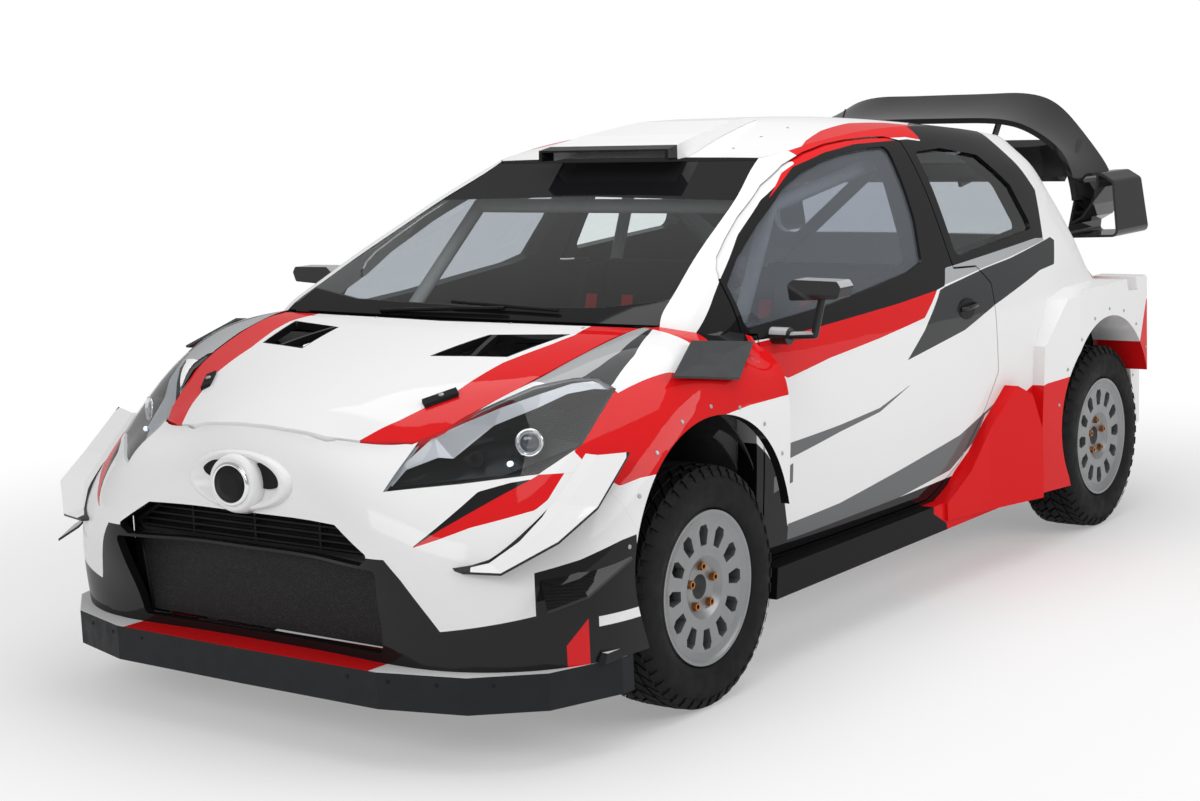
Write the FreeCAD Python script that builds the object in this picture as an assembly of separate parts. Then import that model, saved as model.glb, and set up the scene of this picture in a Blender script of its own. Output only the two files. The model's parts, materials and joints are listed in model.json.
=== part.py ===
"""A three-door rally car with wide arches, a splitter, canards and a double rear wing.

Units are millimetres. +Z is up, +X is the car's left and the car faces -Y.
The origin is on the floor in the middle of the car's length and width.
"""
import FreeCAD, Part
import math
import os

# Driving dimensions
LENGTH = 4085.0
WIDTH = 1875.0
WHEELBASE = 2511.0
FRONT_OVERHANG = 824.5
TYRE_RADIUS = 322.5
TYRE_WIDTH = 195.0
WHEEL_CENTRE_X = 808.0
RIM_RADIUS = 205.0
RIM_WIDTH = 178.0
RIM_WINDOWS = 12
HUB_BORE = 33.0
DISC_RADIUS = 150.0
DISC_THICK = 28.0
ARCH_RADIUS = 360.0
LINER_RADIUS = 395.0
LINER_WALL = 5.0
DOOR_THICK = 62.0
PANEL_THICK = 26.0
ROOF_THICK = 20.0
GLASS_THICK = 5.0
GLASS_DEPTH = 9.0
SHUT_GAP = 6.0
SEAT_GAP = 0.3
BORDER_ROOM = 4.0
FIT = 0.05
FLOOR_Z = 195.0
FLOOR_THICK = 20.0
TUB_HALF = 738.0
CAGE_RADIUS = 22.0
KINGPIN_TOP = (620.0, 748.0)
KINGPIN_LOW = (725.0, 190.0)
STRUT_RADIUS = 26.0
DOOR_HINGE = (800.0, -755.0)
HINGE_KNUCKLE = 13.0
DOOR_FRONT = -815.0
DOOR_REAR = 555.0
SEAT_X = 350.0
SEAT_HALF = 225.0
HOOP_Y = 470.0
HINGE_PIN = 8.0
LID_PIN = 4.0
STEERING_WHEEL_RADIUS = 165.0
COLUMN_RADIUS = 16.0
EXHAUST_RADIUS = 28.0
TIP_RADIUS = 31.0
ENGINE_REAR = -1180.0

HALF = WIDTH / 2
NOSE_Y = -LENGTH / 2
TAIL_Y = LENGTH / 2
FRONT_Y = NOSE_Y + FRONT_OVERHANG
REAR_Y = FRONT_Y + WHEELBASE
HUB_Z = TYRE_RADIUS
FLOOR_TOP = FLOOR_Z + FLOOR_THICK
PARTS = {}


def V(x, y, z):
    return FreeCAD.Vector(x, y, z)


X_AXIS = V(1, 0, 0)
Y_AXIS = V(0, 1, 0)
Z_AXIS = V(0, 0, 1)


def curve(knots, at):
    """A smooth value through a few (position, value) knots, held level past both ends."""
    if at <= knots[0][0]:
        return knots[0][1]
    if at >= knots[-1][0]:
        return knots[-1][1]
    n = len(knots)
    slopes = []
    for i in range(n):
        low = max(i - 1, 0)
        high = min(i + 1, n - 1)
        slopes.append((knots[high][1] - knots[low][1]) / (knots[high][0] - knots[low][0]))
    for i in range(n - 1):
        p0, v0 = knots[i]
        p1, v1 = knots[i + 1]
        if at <= p1:
            h = p1 - p0
            t = (at - p0) / h
            a = (1 + 2 * t) * (1 - t) ** 2
            b = t * (1 - t) ** 2
            c = t * t * (3 - 2 * t)
            d = t * t * (t - 1)
            return a * v0 + b * h * slopes[i] + c * v1 + d * h * slopes[i + 1]
    return knots[-1][1]


def step(value):
    """A soft step from 0 to 1."""
    value = min(max(value, 0.0), 1.0)
    return value * value * (3 - 2 * value)


def box(x0, x1, y0, y1, z0, z1):
    return Part.makeBox(x1 - x0, y1 - y0, z1 - z0, V(x0, y0, z0))


def mirrored(shape):
    return shape.mirror(V(0, 0, 0), X_AXIS)


def both(shape):
    return Part.makeCompound([shape, mirrored(shape)])


def moved(shape, along):
    """A copy of a shape moved along the car."""
    copy = shape.copy()
    copy.translate(V(0, along, 0))
    return copy


def fuse(shapes):
    result = shapes[0].multiFuse(shapes[1:])
    return result.removeSplitter()


def save(name, shape, least=5000.0):
    """Keep the solids of a shape under a node's name, without the splinters of its cuts."""
    solids = [s for s in shape.Solids if s.Volume > least]
    solids.sort(key=lambda s: -s.Volume)
    whole = solids[0] if len(solids) == 1 else Part.makeCompound(solids)
    PARTS[name] = whole


def offset_grid(grid, depth):
    """Move each point of a grid along the local normal, to the side that grows with depth."""
    rows = len(grid)
    cols = len(grid[0])
    moved = []
    for i in range(rows):
        line = []
        for j in range(cols):
            along = grid[min(i + 1, rows - 1)][j] - grid[max(i - 1, 0)][j]
            across = grid[i][min(j + 1, cols - 1)] - grid[i][max(j - 1, 0)]
            normal = along.cross(across)
            normal.normalize()
            line.append(grid[i][j] + normal * depth)
        moved.append(line)
    return moved


def skin(grid):
    surface = Part.BSplineSurface()
    surface.interpolate(grid)
    return surface.toShape()


def sheet(grid, depth0, depth1):
    """A solid between two offsets of a grid of points."""
    a = skin(offset_grid(grid, depth0) if depth0 else grid)
    b = skin(offset_grid(grid, depth1) if depth1 else grid)
    faces = [a, b]
    for edge_a, edge_b in zip(a.OuterWire.Edges, b.OuterWire.Edges):
        faces.append(Part.makeRuledSurface(edge_a, edge_b))
    shell = Part.Shell(faces)
    shell.sewShape()
    solid = Part.Solid(Part.Shell(shell.Faces))
    if solid.Volume < 0:
        solid.reverse()
    return solid


def outline_face(points, plane, at, grow=0.0):
    """A flat face from corner points in a plane named yz, xz or xy, grown or shrunk if asked."""
    place = {
        "yz": lambda a, b: V(at, a, b),
        "xz": lambda a, b: V(a, at, b),
        "xy": lambda a, b: V(a, b, at),
    }[plane]
    corners = [place(a, b) for a, b in points]
    face = Part.Face(Part.makePolygon(corners + corners[:1]))
    if grow:
        face = face.makeOffset2D(grow, 2)
    return face


def prism(points, plane, low, high, grow=0.0):
    face = outline_face(points, plane, low, grow)
    axis = {"yz": X_AXIS, "xz": Y_AXIS, "xy": Z_AXIS}[plane]
    return face.extrude(axis * (high - low))


def rounded(points, radius, plane, low, high, grow=0.0):
    """A prism whose upright edges are rounded."""
    solid = prism(points, plane, low, high, grow)
    axis = {"yz": X_AXIS, "xz": Y_AXIS, "xy": Z_AXIS}[plane]
    edges = []
    for edge in solid.Edges:
        ends = edge.Vertexes
        direction = (ends[1].Point - ends[0].Point) if len(ends) == 2 else V(0, 0, 0)
        if direction.Length > 1 and abs(abs(direction.normalize().dot(axis)) - 1) < 1e-6:
            edges.append(edge)
    return solid.makeFillet(radius, edges)


def rod(start, end, radius):
    a = V(*start)
    b = V(*end)
    return Part.makeCylinder(radius, (b - a).Length, a, b - a)


def tube_path(points, radius):
    """Straight tubes with round joints through a list of points."""
    pieces = []
    for a, b in zip(points, points[1:]):
        pieces.append(rod(a, b, radius))
    for p in points[1:-1]:
        pieces.append(Part.makeSphere(radius, V(*p)))
    return pieces


# Side of the body: one smooth sheet from the sill to the roof edge
SIDE_Z = [185, 300, 430, 570, 700, 790, 850, 900, 950, 1000, 1050, 1120, 1200, 1290, 1350, 1400, 1445]
SIDE_T = [0, 0.025, 0.06, 0.12, 0.22, 0.35, 0.5, 0.62, 0.7, 0.76, 0.81, 0.86, 0.91, 0.96, 1.0]
SHOULDER_Z = 1290.0
EAVES_Z = 1445.0
MID_X = [(185, 812), (430, 850), (620, 862), (850, 855), (950, 838), (1000, 818), (1050, 795),
         (1200, 728), (1300, 676), (1400, 606), (EAVES_Z, 548)]
FRONT_EDGE_X = [(185, 760), (850, 760), (990, 690), (1391, 512), (EAVES_Z, 496)]
REAR_EDGE_X = [(185, 780), (800, 775), (1000, 720), (1200, 640), (1391, 530), (EAVES_Z, 500)]
FRONT_EDGE_Y = [(185, -960), (790, -960), (900, -1060), (990, -1110), (1391, -285)]
REAR_EDGE_Y = [(185, 1640), (790, 1600), (900, 1475), (1000, 1445), (1200, 1370), (1385, 1300)]
EAVES_TOP = [(0.0, 1391), (0.2, 1432), (0.45, 1452), (0.7, 1436), (1.0, 1385)]
ROOF_CROWN = [(0.0, 1396), (0.15, 1448), (0.38, 1496), (0.6, 1484), (0.8, 1446), (1.0, 1392)]
FLARE_START = 700.0
FLARE_INNER = 770.0
TYRE_ROOM = 24.0
FLARE_END = 1607.0
FLARE_TOP = 868.0


def side_height(t, z):
    """Above the shoulder the rows close up to follow the roof edge."""
    if z <= SHOULDER_Z:
        return z
    share = (z - SHOULDER_Z) / (EAVES_Z - SHOULDER_Z)
    return SHOULDER_Z + share * (curve(EAVES_TOP, t) - SHOULDER_Z)


def side_point(t, z):
    """A point of the left body side: t runs from the windscreen edge to the tail."""
    y0 = curve(FRONT_EDGE_Y, side_height(0, z))
    y1 = curve(REAR_EDGE_Y, side_height(1, z))
    mid = curve(MID_X, z)
    edge = curve(FRONT_EDGE_X, z) if t < 0.5 else curve(REAR_EDGE_X, z)
    bow = (1 - abs(2 * t - 1) ** 2.3) ** 0.36
    return V(edge + (mid - edge) * bow, y0 + t * (y1 - y0), side_height(t, z))


SIDE = [[side_point(t, z) for t in SIDE_T] for z in reversed(SIDE_Z)]

DOOR_OUTLINE = [(DOOR_FRONT, 305), (DOOR_FRONT, 936), (-882, 942), (-852, 1082), (-828, 1112), (-788, 1141),
                (-704, 1184), (-589, 1239), (-408, 1318), (-262, 1368), (-134, 1398), (-7, 1417), (109, 1425),
                (222, 1427), (330, 1424), (394, 1409), (345, 1008), (DOOR_REAR - 60, 1000), (DOOR_REAR, 940),
                (DOOR_REAR, 650), (450, 530), (300, 392), (140, 318), (100, 305)]
DOOR_WINDOW = [(-856, 955), (-836, 1072), (-736, 1134), (-567, 1216), (-355, 1307), (-213, 1350), (-91, 1374),
               (34, 1390), (150, 1397), (290, 1398), (228, 1169), (165, 1044), (60, 1022), (-435, 976)]
DOOR_TAPER = 0.25
FRONT_POST = DOOR_FRONT - 31
QUARTER_WINDOW = [(395, 1040), (440, 1372), (620, 1375), (860, 1340), (985, 1230), (1020, 1080)]
REAR_ARCH = (REAR_Y - 20, 400.0, 355.0)
FRONT_ARCH = (FRONT_Y - 9.5, 420.0, ARCH_RADIUS)


def arch_cutter(arch, x0, x1=1000.0, grow=0.0):
    return Part.makeCylinder(arch[2] + grow, x1 - x0, V(x0, arch[0], arch[1]), X_AXIS)


def tyre_room(y):
    """The round space that a tyre needs about its axle."""
    return Part.makeCylinder(TYRE_RADIUS + TYRE_ROOM, 800, V(300, y, HUB_Z), X_AXIS)


def roof_outline():
    """The roof edge seen from above, from the windscreen round to the tail."""
    left = [side_point(t, EAVES_Z) for t in SIDE_T]
    points = [(p.x, p.y) for p in left]
    for s in (0.7, 0.35, 0.0, -0.35, -0.7):
        points.append((s * left[-1].x, left[-1].y + TAIL_BOW[-1][1] * (1 - s * s)))
    points += [(-p.x, p.y) for p in reversed(left)]
    for s in (-0.6, 0.0, 0.6):
        points.append((s * left[0].x, left[0].y + SCREEN_BOW[-1][1] * (1 - s * s)))
    return points


def side_parts():
    wall = sheet(SIDE, 0, -DOOR_THICK)
    wall = wall.cut(prism(roof_outline(), "xy", 1250, 1600, -SEAT_GAP))
    door_cut = prism(DOOR_OUTLINE, "yz", 300, 1000, SHUT_GAP / 2)
    door_form = prism(DOOR_OUTLINE, "yz", 300, 1000, -SHUT_GAP / 2)
    window = rounded(DOOR_WINDOW, 18, "yz", 300, 1000)
    quarter = rounded(QUARTER_WINDOW, 25, "yz", 300, 1000)
    body = wall.cut(door_cut).cut(quarter).cut(arch_cutter(REAR_ARCH, 300)).cut(tyre_room(REAR_Y))
    body = body.cut(box(300, 1000, -1200, FRONT_POST, 0, 915))
    body = body.common(box(300, 1000, -1112, 1700, FLOOR_Z, 1600))
    door = wall.common(door_form).cut(window).cut(hinge_pockets()).cut(door_taper())
    pane = sheet(SIDE, -GLASS_DEPTH, -GLASS_DEPTH - GLASS_THICK)
    door_pane = pane.common(rounded(DOOR_WINDOW, 18, "yz", 300, 1000, -SEAT_GAP))
    quarter_pane = pane.common(rounded(QUARTER_WINDOW, 25, "yz", 300, 1000, -SEAT_GAP))
    return body, door, door_pane, quarter_pane


def door_taper():
    """The wedge taken off the door's upper rear edge, so that it swings out past the pillar."""
    low = V(818, 345 - SHUT_GAP / 2, 1008)
    high = V(602, 394 - SHUT_GAP / 2, 1409)
    out = FreeCAD.Vector(1, DOOR_TAPER, 0)
    rise = (high - low) * 1.2
    corners = [low - out * 300, low + out * 300, low + out * 300 + rise, low - out * 300 + rise]
    return Part.Face(Part.makePolygon(corners + corners[:1])).extrude(Y_AXIS * 150)


def rear_flare():
    """The square-topped rear arch that stands out from the body side."""
    top = FLARE_TOP
    outline = [(FLARE_START + 60, 205), (FLARE_START + 110, 430), (FLARE_START + 130, 700),
               (FLARE_START + 260, top - 22), (FLARE_START + 420, top), (FLARE_END - 10, top),
               (FLARE_END, top - 10), (FLARE_END, 430), (FLARE_END - 120, 430), (FLARE_END - 420, 205)]
    form = prism(outline, "yz", FLARE_INNER, HALF)
    form = form.cut(arch_cutter(REAR_ARCH, 700)).cut(tyre_room(REAR_Y))
    form = form.cut(sheet(SIDE, -6, -200))
    wedge = prism([(HALF - 62, FLARE_START), (HALF + 40, FLARE_START), (HALF + 40, FLARE_START + 330),
                   (HALF, FLARE_START + 330)], "xy", 0, 1200)
    return form.cut(wedge)


# Bonnet, roof, windscreen and tailgate
BONNET_CROWN = [(-1958, 806), (-1900, 836), (-1800, 872), (-1650, 916), (-1450, 958), (-1300, 980),
                (-1190, 990), (-1100, 996)]
BONNET_DROP = [(-1958, 4), (-1920, 40), (-1835, 86), (-1700, 72), (-1600, 55), (-1450, 34), (-1250, 10),
               (-1100, 2)]
BONNET_HALF = [(-1958, 100), (-1925, 240), (-1835, 445), (-1715, 520), (-1600, 580), (-1480, 615),
               (-1360, 640), (-1240, 655), (-1140, 666), (-1100, 668)]
BONNET_THICK = 22.0
SCREEN_HALF = 688.0
SCREEN_FOOT = 992.0
BONNET_SPAN = [(-1958, 430), (-1835, 490), (-1715, 560), (-1480, 660), (-1100, 715)]
BONNET_EDGE_Y = [-1925, -1880, -1835, -1770, -1715, -1600, -1480, -1360, -1240, -1142]
BONNET_HINGE = (-1138.0, 976.0)
BONNET_VENT = [(238, -1510), (282, -1316), (505, -1262), (446, -1452)]
VENT_FIN = [(352, -1500), (368, -1500), (300, -1300), (284, -1300)]


def bonnet_height(x, y):
    share = min(abs(x) / curve(BONNET_HALF, y), 1.25)
    return curve(BONNET_CROWN, y) - curve(BONNET_DROP, y) * share ** 2.2


def bonnet_outline():
    side = [(curve(BONNET_HALF, y), y) for y in BONNET_EDGE_Y]
    rear = [(400, -1172), (0, -1196), (-400, -1172)]
    front = [(0, -1951), (120, -1946)]
    left = [(-x, y) for x, y in reversed(side)]
    return front + side + rear + left + [(-120, -1946)]


def bonnet():
    shares = [-1.0, -0.8, -0.55, -0.3, 0.0, 0.3, 0.55, 0.8, 1.0]
    rows = [-1962, -1915, -1850, -1770, -1680, -1580, -1450, -1320, -1200, -1100]
    grid = []
    for y in rows:
        span = curve(BONNET_SPAN, y)
        grid.append([V(s * span, y, bonnet_height(s * span, y)) for s in shares])
    slab = sheet(grid, 0, BONNET_THICK if grid_up(grid) < 0 else -BONNET_THICK)
    lid = slab.common(prism(bonnet_outline(), "xy", 500, 1200, -SHUT_GAP / 2))
    vent = rounded(BONNET_VENT, 12, "xy", 500, 1200)
    lid = lid.cut(both(vent))
    fin = prism(VENT_FIN, "xy", 500, 1200).common(slab).common(prism(BONNET_VENT, "xy", 500, 1200, 3))
    y, z = BONNET_HINGE
    x = LID_HINGE_X + 12
    lug = Part.makeCylinder(LID_PIN + 4, LUG_WIDTH, V(x, y, z), X_AXIS)
    arm = prism([(y, z - 7), (y, z + 7), (y - 40, z + 10), (y - 60, z - 8), (y - 40, z - 12)], "yz", x, x + LUG_WIDTH)
    lugs = [lug, arm, mirrored(lug), mirrored(arm)]
    bore = Part.makeCylinder(LID_PIN + FIT, 60, V(x - 10, y, z), X_AXIS)
    lid = fuse([lid, fin, mirrored(fin)] + lugs)
    return lid.cut(bore).cut(mirrored(bore))


def grid_up(grid):
    """The sign of the normal's z in the middle of a grid."""
    i = len(grid) // 2
    j = len(grid[0]) // 2
    along = grid[i + 1][j] - grid[i][j]
    across = grid[i][j + 1] - grid[i][j]
    return along.cross(across).z


def roof_bow(t):
    """How far the middle of the roof stands out past its corners, fore or aft."""
    t = min(max(t, 0), 1)
    return SCREEN_BOW[-1][1] * (1 - t) ** 3 + TAIL_BOW[-1][1] * t ** 3


def roof_grid():
    shares = [-1.03, -0.9, -0.7, -0.45, -0.2, 0.0, 0.2, 0.45, 0.7, 0.9, 1.03]
    grid = []
    for t in [-0.02] + SIDE_T[1:-1] + [1.02]:
        edge = side_point(min(max(t, 0), 1), EAVES_Z)
        y = edge.y + (t - min(max(t, 0), 1)) * 1600
        crown = curve(ROOF_CROWN, t)
        low = curve(EAVES_TOP, t)
        row = []
        for s in shares:
            bulge = (1 - min(s * s, 1)) * roof_bow(t)
            row.append(V(s * edge.x, y + bulge, low + (crown - low) * (1 - abs(s) ** 2.4)))
        grid.append(row)
    return grid


def roof():
    grid = roof_grid()
    sign = 1 if grid_up(grid) < 0 else -1
    slab = sheet(grid, 0, sign * ROOF_THICK)
    panel = slab.common(prism(roof_outline(), "xy", 1250, 1600, -2 * SEAT_GAP))
    return roof_hinges(panel)


SCREEN_BOW = [(990, -18), (1391, -14)]


SCREEN_FIT = 2.5


def screen_grid(z_rows, edge_x, edge_y, bow):
    shares = [-1.0, -0.75, -0.5, -0.25, 0.0, 0.25, 0.5, 0.75, 1.0]
    grid = []
    for z in z_rows:
        half = curve(edge_x, z) - SCREEN_FIT
        grid.append([V(s * half, curve(edge_y, z) + curve(bow, z) * (1 - s * s), z) for s in shares])
    return grid


def screen_sheet(foot, room=0.0):
    """The windscreen as a sheet from a foot height, with room on both faces if asked."""
    grid = screen_grid([foot, 1050, 1130, 1220, 1310, 1386], FRONT_EDGE_X, FRONT_EDGE_Y, SCREEN_BOW)
    sign = 1 if grid_up(grid) < 0 else -1
    return sheet(grid, sign * (2 - room), sign * (3 + GLASS_THICK + room))


def windscreen():
    pane = screen_sheet(SCREEN_FOOT)
    wall = sheet(SIDE, SEAT_GAP, -DOOR_THICK - SEAT_GAP)
    pane = pane.cut(wall).cut(mirrored(wall))
    border = moved(wall, -BORDER_ROOM)
    return pane.cut(border).cut(mirrored(border))


TAIL_BOW = [(760, 95), (1372, 18)]
TAIL_ROWS = [760, 830, 900, 980, 1080, 1180, 1280, 1372]
TAIL_THICK = 34.0
TAIL_FIT = 10.0
TAIL_GLASS = [(-520, 1020), (-455, 1290), (455, 1290), (520, 1020)]
TAIL_HINGE = (1302.0, 1386.0)
TAIL_HINGE_X = 262.0
TAIL_SWEEP = 27.0
TAIL_TURNS = (8, 16, 26, 38, 50)
LID_TOP = 1361.0
LID_HINGE_X = 395.0
LUG_WIDTH = 16.0


def tail_slab(depth=0.0, thick=TAIL_THICK):
    """The tailgate's full sheet, between a depth and that depth plus a thickness."""
    grid = screen_grid(TAIL_ROWS, [(z, x - TAIL_FIT) for z, x in REAR_EDGE_X], REAR_EDGE_Y, TAIL_BOW)
    return sheet(grid, TAIL_INWARD * depth, TAIL_INWARD * (depth + thick))


TAIL_INWARD = -1


def tailgate_parts():
    opening = rounded(TAIL_GLASS, 40, "xz", 1100, 1800)
    keep = box(-900, 900, 1290, 1900, 768, LID_TOP)
    wall = sheet(SIDE, SHUT_GAP, -DOOR_THICK - SHUT_GAP)
    lid = tail_slab().cut(opening).common(keep).cut(wall).cut(mirrored(wall))
    border = moved(wall, BORDER_ROOM)
    lid = lid.cut(border).cut(mirrored(border))
    y, z = TAIL_HINGE
    x = TAIL_HINGE_X
    lid = lid.cut(Part.makeCylinder(TAIL_SWEEP, 1400, V(-700, y, z), X_AXIS))
    pillar = wall.common(box(380, 900, 1150, 1420, 1180, 1450))
    for turn in TAIL_TURNS:
        swept = pillar.copy()
        swept.rotate(V(0, y, z), X_AXIS, -turn)
        lid = lid.cut(swept).cut(mirrored(swept))
    lug = Part.makeCylinder(LID_PIN + 4, LUG_WIDTH, V(x, y, z), X_AXIS)
    arm = box(x, x + LUG_WIDTH, y - 6, y + 12, z - 36, z)
    bore = Part.makeCylinder(LID_PIN + FIT, 60, V(x - 20, y, z), X_AXIS)
    lid = fuse([lid, lug, arm, mirrored(lug), mirrored(arm)])
    lid = lid.cut(bore).cut(mirrored(bore))
    pane = tail_slab(GLASS_DEPTH, GLASS_THICK)
    pane = pane.common(rounded(TAIL_GLASS, 40, "xz", 1100, 1800, -SEAT_GAP))
    return lid, pane


def roof_hinges(panel):
    """Two slots in the roof's rear edge, each with a pin that the tailgate turns on."""
    y, z = TAIL_HINGE
    x = TAIL_HINGE_X
    slot = box(x - 3, x + LUG_WIDTH + 3, y - 14, y + 60, z - 60, z + 60)
    pin = Part.makeCylinder(LID_PIN, LUG_WIDTH + 20, V(x - 10, y, z), X_AXIS)
    return fuse([panel.cut(slot).cut(mirrored(slot)), pin, mirrored(pin)])


# Front of the body: one sheet from the nose round the wheel to the door
BUMPER_FOOT = 245.0
FRONT_PLAN = [
    [(0, -1955, 245), (0, -1972, 400), (0, -1985, 520), (0, -2000, 640), (0, -1994, 730)],
    [(240, -1957, 245), (245, -1976, 400), (248, -1992, 520), (245, -1998, 640), (240, -1972, 725)],
    [(430, -1968, 245), (460, -2000, 400), (475, -2022, 520), (468, -1992, 640), (458, -1925, 715)],
    [(620, -1950, 245), (650, -1955, 400), (660, -1945, 520), (640, -1880, 640), (590, -1800, 742)],
    [(800, -1850, 245), (812, -1850, 400), (812, -1825, 520), (790, -1750, 645), (715, -1670, 780)],
    [(905, -1690, 245), (913, -1680, 400), (913, -1655, 520), (895, -1590, 665), (815, -1530, 815)],
    [(934, -1540, 245), (936, -1530, 400), (936, -1510, 540), (930, -1460, 705), (862, -1400, 858)],
    [(HALF, -1370, 245), (HALF, -1370, 400), (HALF, -1350, 560), (HALF, -1320, 735), (888, -1280, 880)],
    [(HALF, -1205, 245), (HALF, -1200, 400), (HALF, -1200, 570), (HALF, -1180, 750), (900, -1150, 886)],
    [(HALF, -1060, 245), (HALF, -1050, 400), (HALF, -1040, 570), (HALF, -1020, 755), (905, -1000, 876)],
    [(932, -900, 245), (HALF, -880, 400), (HALF, -868, 570), (HALF, -858, 740), (910, -850, 852)],
]
FRONT_TOP_Y = [-1958, -1925, -1835, -1715, -1600, -1480, -1360, -1240, -1142]
FENDER_TOP = [(735, -1010, 975), (802, -842, 924)]
BUMPER_SPLIT = [(-2200, 100), (-1500, 100), (-1560, 520), (-1640, 700), (-1790, 700), (-1790, 900), (-2200, 900)]


def front_grid():
    grid = []
    for i, column in enumerate(FRONT_PLAN):
        points = [V(*p) for p in column]
        if i < len(FRONT_TOP_Y):
            y = FRONT_TOP_Y[i]
            x = curve(BONNET_HALF, y) if i else 0.0
            points.append(V(x, y, bonnet_height(x, y)))
        else:
            points.append(V(*FENDER_TOP[i - len(FRONT_TOP_Y)]))
        grid.append(points)
    return grid


def full_width(grid):
    """The same grid continued across the middle of the car."""
    other = [[V(-p.x, p.y, p.z) for p in column] for column in reversed(grid[1:])]
    return other + grid


FRONT = full_width(front_grid())
LAMP_OUTLINE = [(462, -1967, 677), (478, -1850, 790), (560, -1715, 848), (640, -1585, 893), (707, -1501, 905),
                (748, -1467, 902), (799, -1458, 876), (803, -1614, 759), (752, -1726, 702), (609, -1851, 688)]
LAMP_VIEW = V(0.56, -0.78, 0.28)
LAMP_DEPTH = 8.0
LAMP_AXIS = FreeCAD.Vector(0.42, -0.88, 0.1)
PROJECTORS = [((699, -1695, 769), 36.0), ((602, -1788, 736), 20.0)]
PROJECTOR_INSET = 22.0
PROJECTOR_BORE = 7.0
UPPER_MOUTH = [(-452, 525), (-335, 592), (335, 592), (452, 525), (420, 500), (-420, 500)]
LOWER_MOUTH = [(-470, 492), (470, 492), (432, 268), (-432, 268)]


def view_prism(points, direction, near, far, grow=0.0):
    """A prism along any direction through corner points, flattened square to it."""
    d = V(direction.x, direction.y, direction.z)
    d.normalize()
    centre = V(0, 0, 0)
    for p in points:
        centre = centre + V(*p) * (1.0 / len(points))
    flat = []
    for p in points:
        v = V(*p) - centre
        v = v - d * v.dot(d)
        if grow:
            v = v * (1 + grow / v.Length)
        flat.append(centre + v + d * near)
    face = Part.Face(Part.makePolygon(flat + flat[:1]))
    return face.extrude(d * (far - near))


def front_parts():
    sign = -1
    wall = sheet(FRONT, 0, sign * PANEL_THICK)
    wall = wall.cut(prism(bonnet_outline(), "xy", 400, 1200, SHUT_GAP / 2))
    wall = wall.cut(both(arch_cutter(FRONT_ARCH, 480)))
    wall = wall.cut(box(-SCREEN_HALF, SCREEN_HALF, -1137, -700, 900, 1200))
    wall = wall.common(box(-1000, 1000, -2060, DOOR_FRONT - 38, 240, 1100))
    side_wall = sheet(SIDE, SEAT_GAP, -DOOR_THICK - SEAT_GAP)
    wall = wall.cut(side_wall).cut(mirrored(side_wall))
    lamp_hole = view_prism(LAMP_OUTLINE, LAMP_VIEW, -260, 500, 1.0)
    lamp_form = view_prism(LAMP_OUTLINE, LAMP_VIEW, -260, 500, 1.0 - SEAT_GAP)
    lens = sheet(FRONT, 0, sign * LAMP_DEPTH).cut(prism(bonnet_outline(), "xy", 400, 1200, SHUT_GAP / 2))
    lens = lens.common(lamp_form)
    shell = wall.cut(both(lamp_hole))
    bumper = shell.common(prism(BUMPER_SPLIT, "yz", -1000, 1000))
    fender = shell.cut(prism(BUMPER_SPLIT, "yz", -1000, 1000, SEAT_GAP))
    fender = fender.common(box(100, 1000, -2100, 0, 0, 1200))
    bumper = bumper.cut(rounded(UPPER_MOUTH, 10, "xz", -2200, -1700))
    bumper = bumper.cut(rounded(LOWER_MOUTH, 15, "xz", -2200, -1700))
    inner = sheet(FRONT, sign * (LAMP_DEPTH + SEAT_GAP), sign * (LAMP_DEPTH + 150))
    bucket = inner.common(lamp_form).cut(prism(bonnet_outline(), "xy", 400, 1200, SHUT_GAP / 2))
    bucket = bucket.cut(arch_cutter((FRONT_Y, 400.0, LINER_RADIUS + 12), 300))
    bowl = view_prism(LAMP_OUTLINE, LAMP_VIEW, -260, 500, -9)
    floor = sheet(FRONT, sign * (LAMP_DEPTH + 60), sign * (LAMP_DEPTH + 190))
    bucket = bucket.cut(bowl.cut(floor))
    over = sheet(FRONT, 60, sign * (LAMP_DEPTH + 3))
    for centre, radius in PROJECTORS:
        front = V(*centre) - LAMP_AXIS * PROJECTOR_INSET
        tube = Part.makeCylinder(radius, 60, front - LAMP_AXIS * 60, LAMP_AXIS).cut(over)
        bore = Part.makeCylinder(radius - PROJECTOR_BORE, 18, front - LAMP_AXIS * 17, LAMP_AXIS)
        bucket = bucket.fuse(tube.cut(bore))
    return bumper, fender, lens, bucket


# Noses, grilles and aerofoils
SPLITTER_Z = 152.0
LIP_WALL = 22.0
LIP_FLOOR = 14.0
GRILLE_Y = -1962.0
GRILLE_DEPTH = 14.0
GRILLE_PITCH = 62.0
GRILLE_BAR = 7.0
SLAT_STEP = 18.0


GRILLE_FIT = 1.5


def mouth_face(outline, y, depth, shrink):
    return rounded(outline, 8, "xz", y, y + depth, -shrink)


def lower_grille():
    """A framed lattice of crossing bars behind the lower mouth."""
    whole = mouth_face(LOWER_MOUTH, GRILLE_Y + 18, GRILLE_DEPTH, GRILLE_FIT)
    inner = mouth_face(LOWER_MOUTH, GRILLE_Y, GRILLE_DEPTH + 60, 14)
    bars = [whole.cut(inner)]
    reach = 760.0
    count = int(reach / GRILLE_PITCH)
    for lean in (-1, 1):
        for i in range(-count, count + 1):
            x = i * GRILLE_PITCH
            foot = V(x - lean * 140, GRILLE_Y + 20, 240)
            head = V(x + lean * 140, GRILLE_Y + 20, 520)
            along = head - foot
            side = V(along.z, 0, -along.x)
            side.normalize()
            side = side * (GRILLE_BAR / 2)
            corners = [foot + side, head + side, head - side, foot - side]
            bar = Part.Face(Part.makePolygon(corners + corners[:1])).extrude(V(0, GRILLE_DEPTH - 4, 0))
            bar = bar.common(whole)
            if bar.Volume > 10:
                bars.append(bar)
    return fuse(bars)


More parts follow.
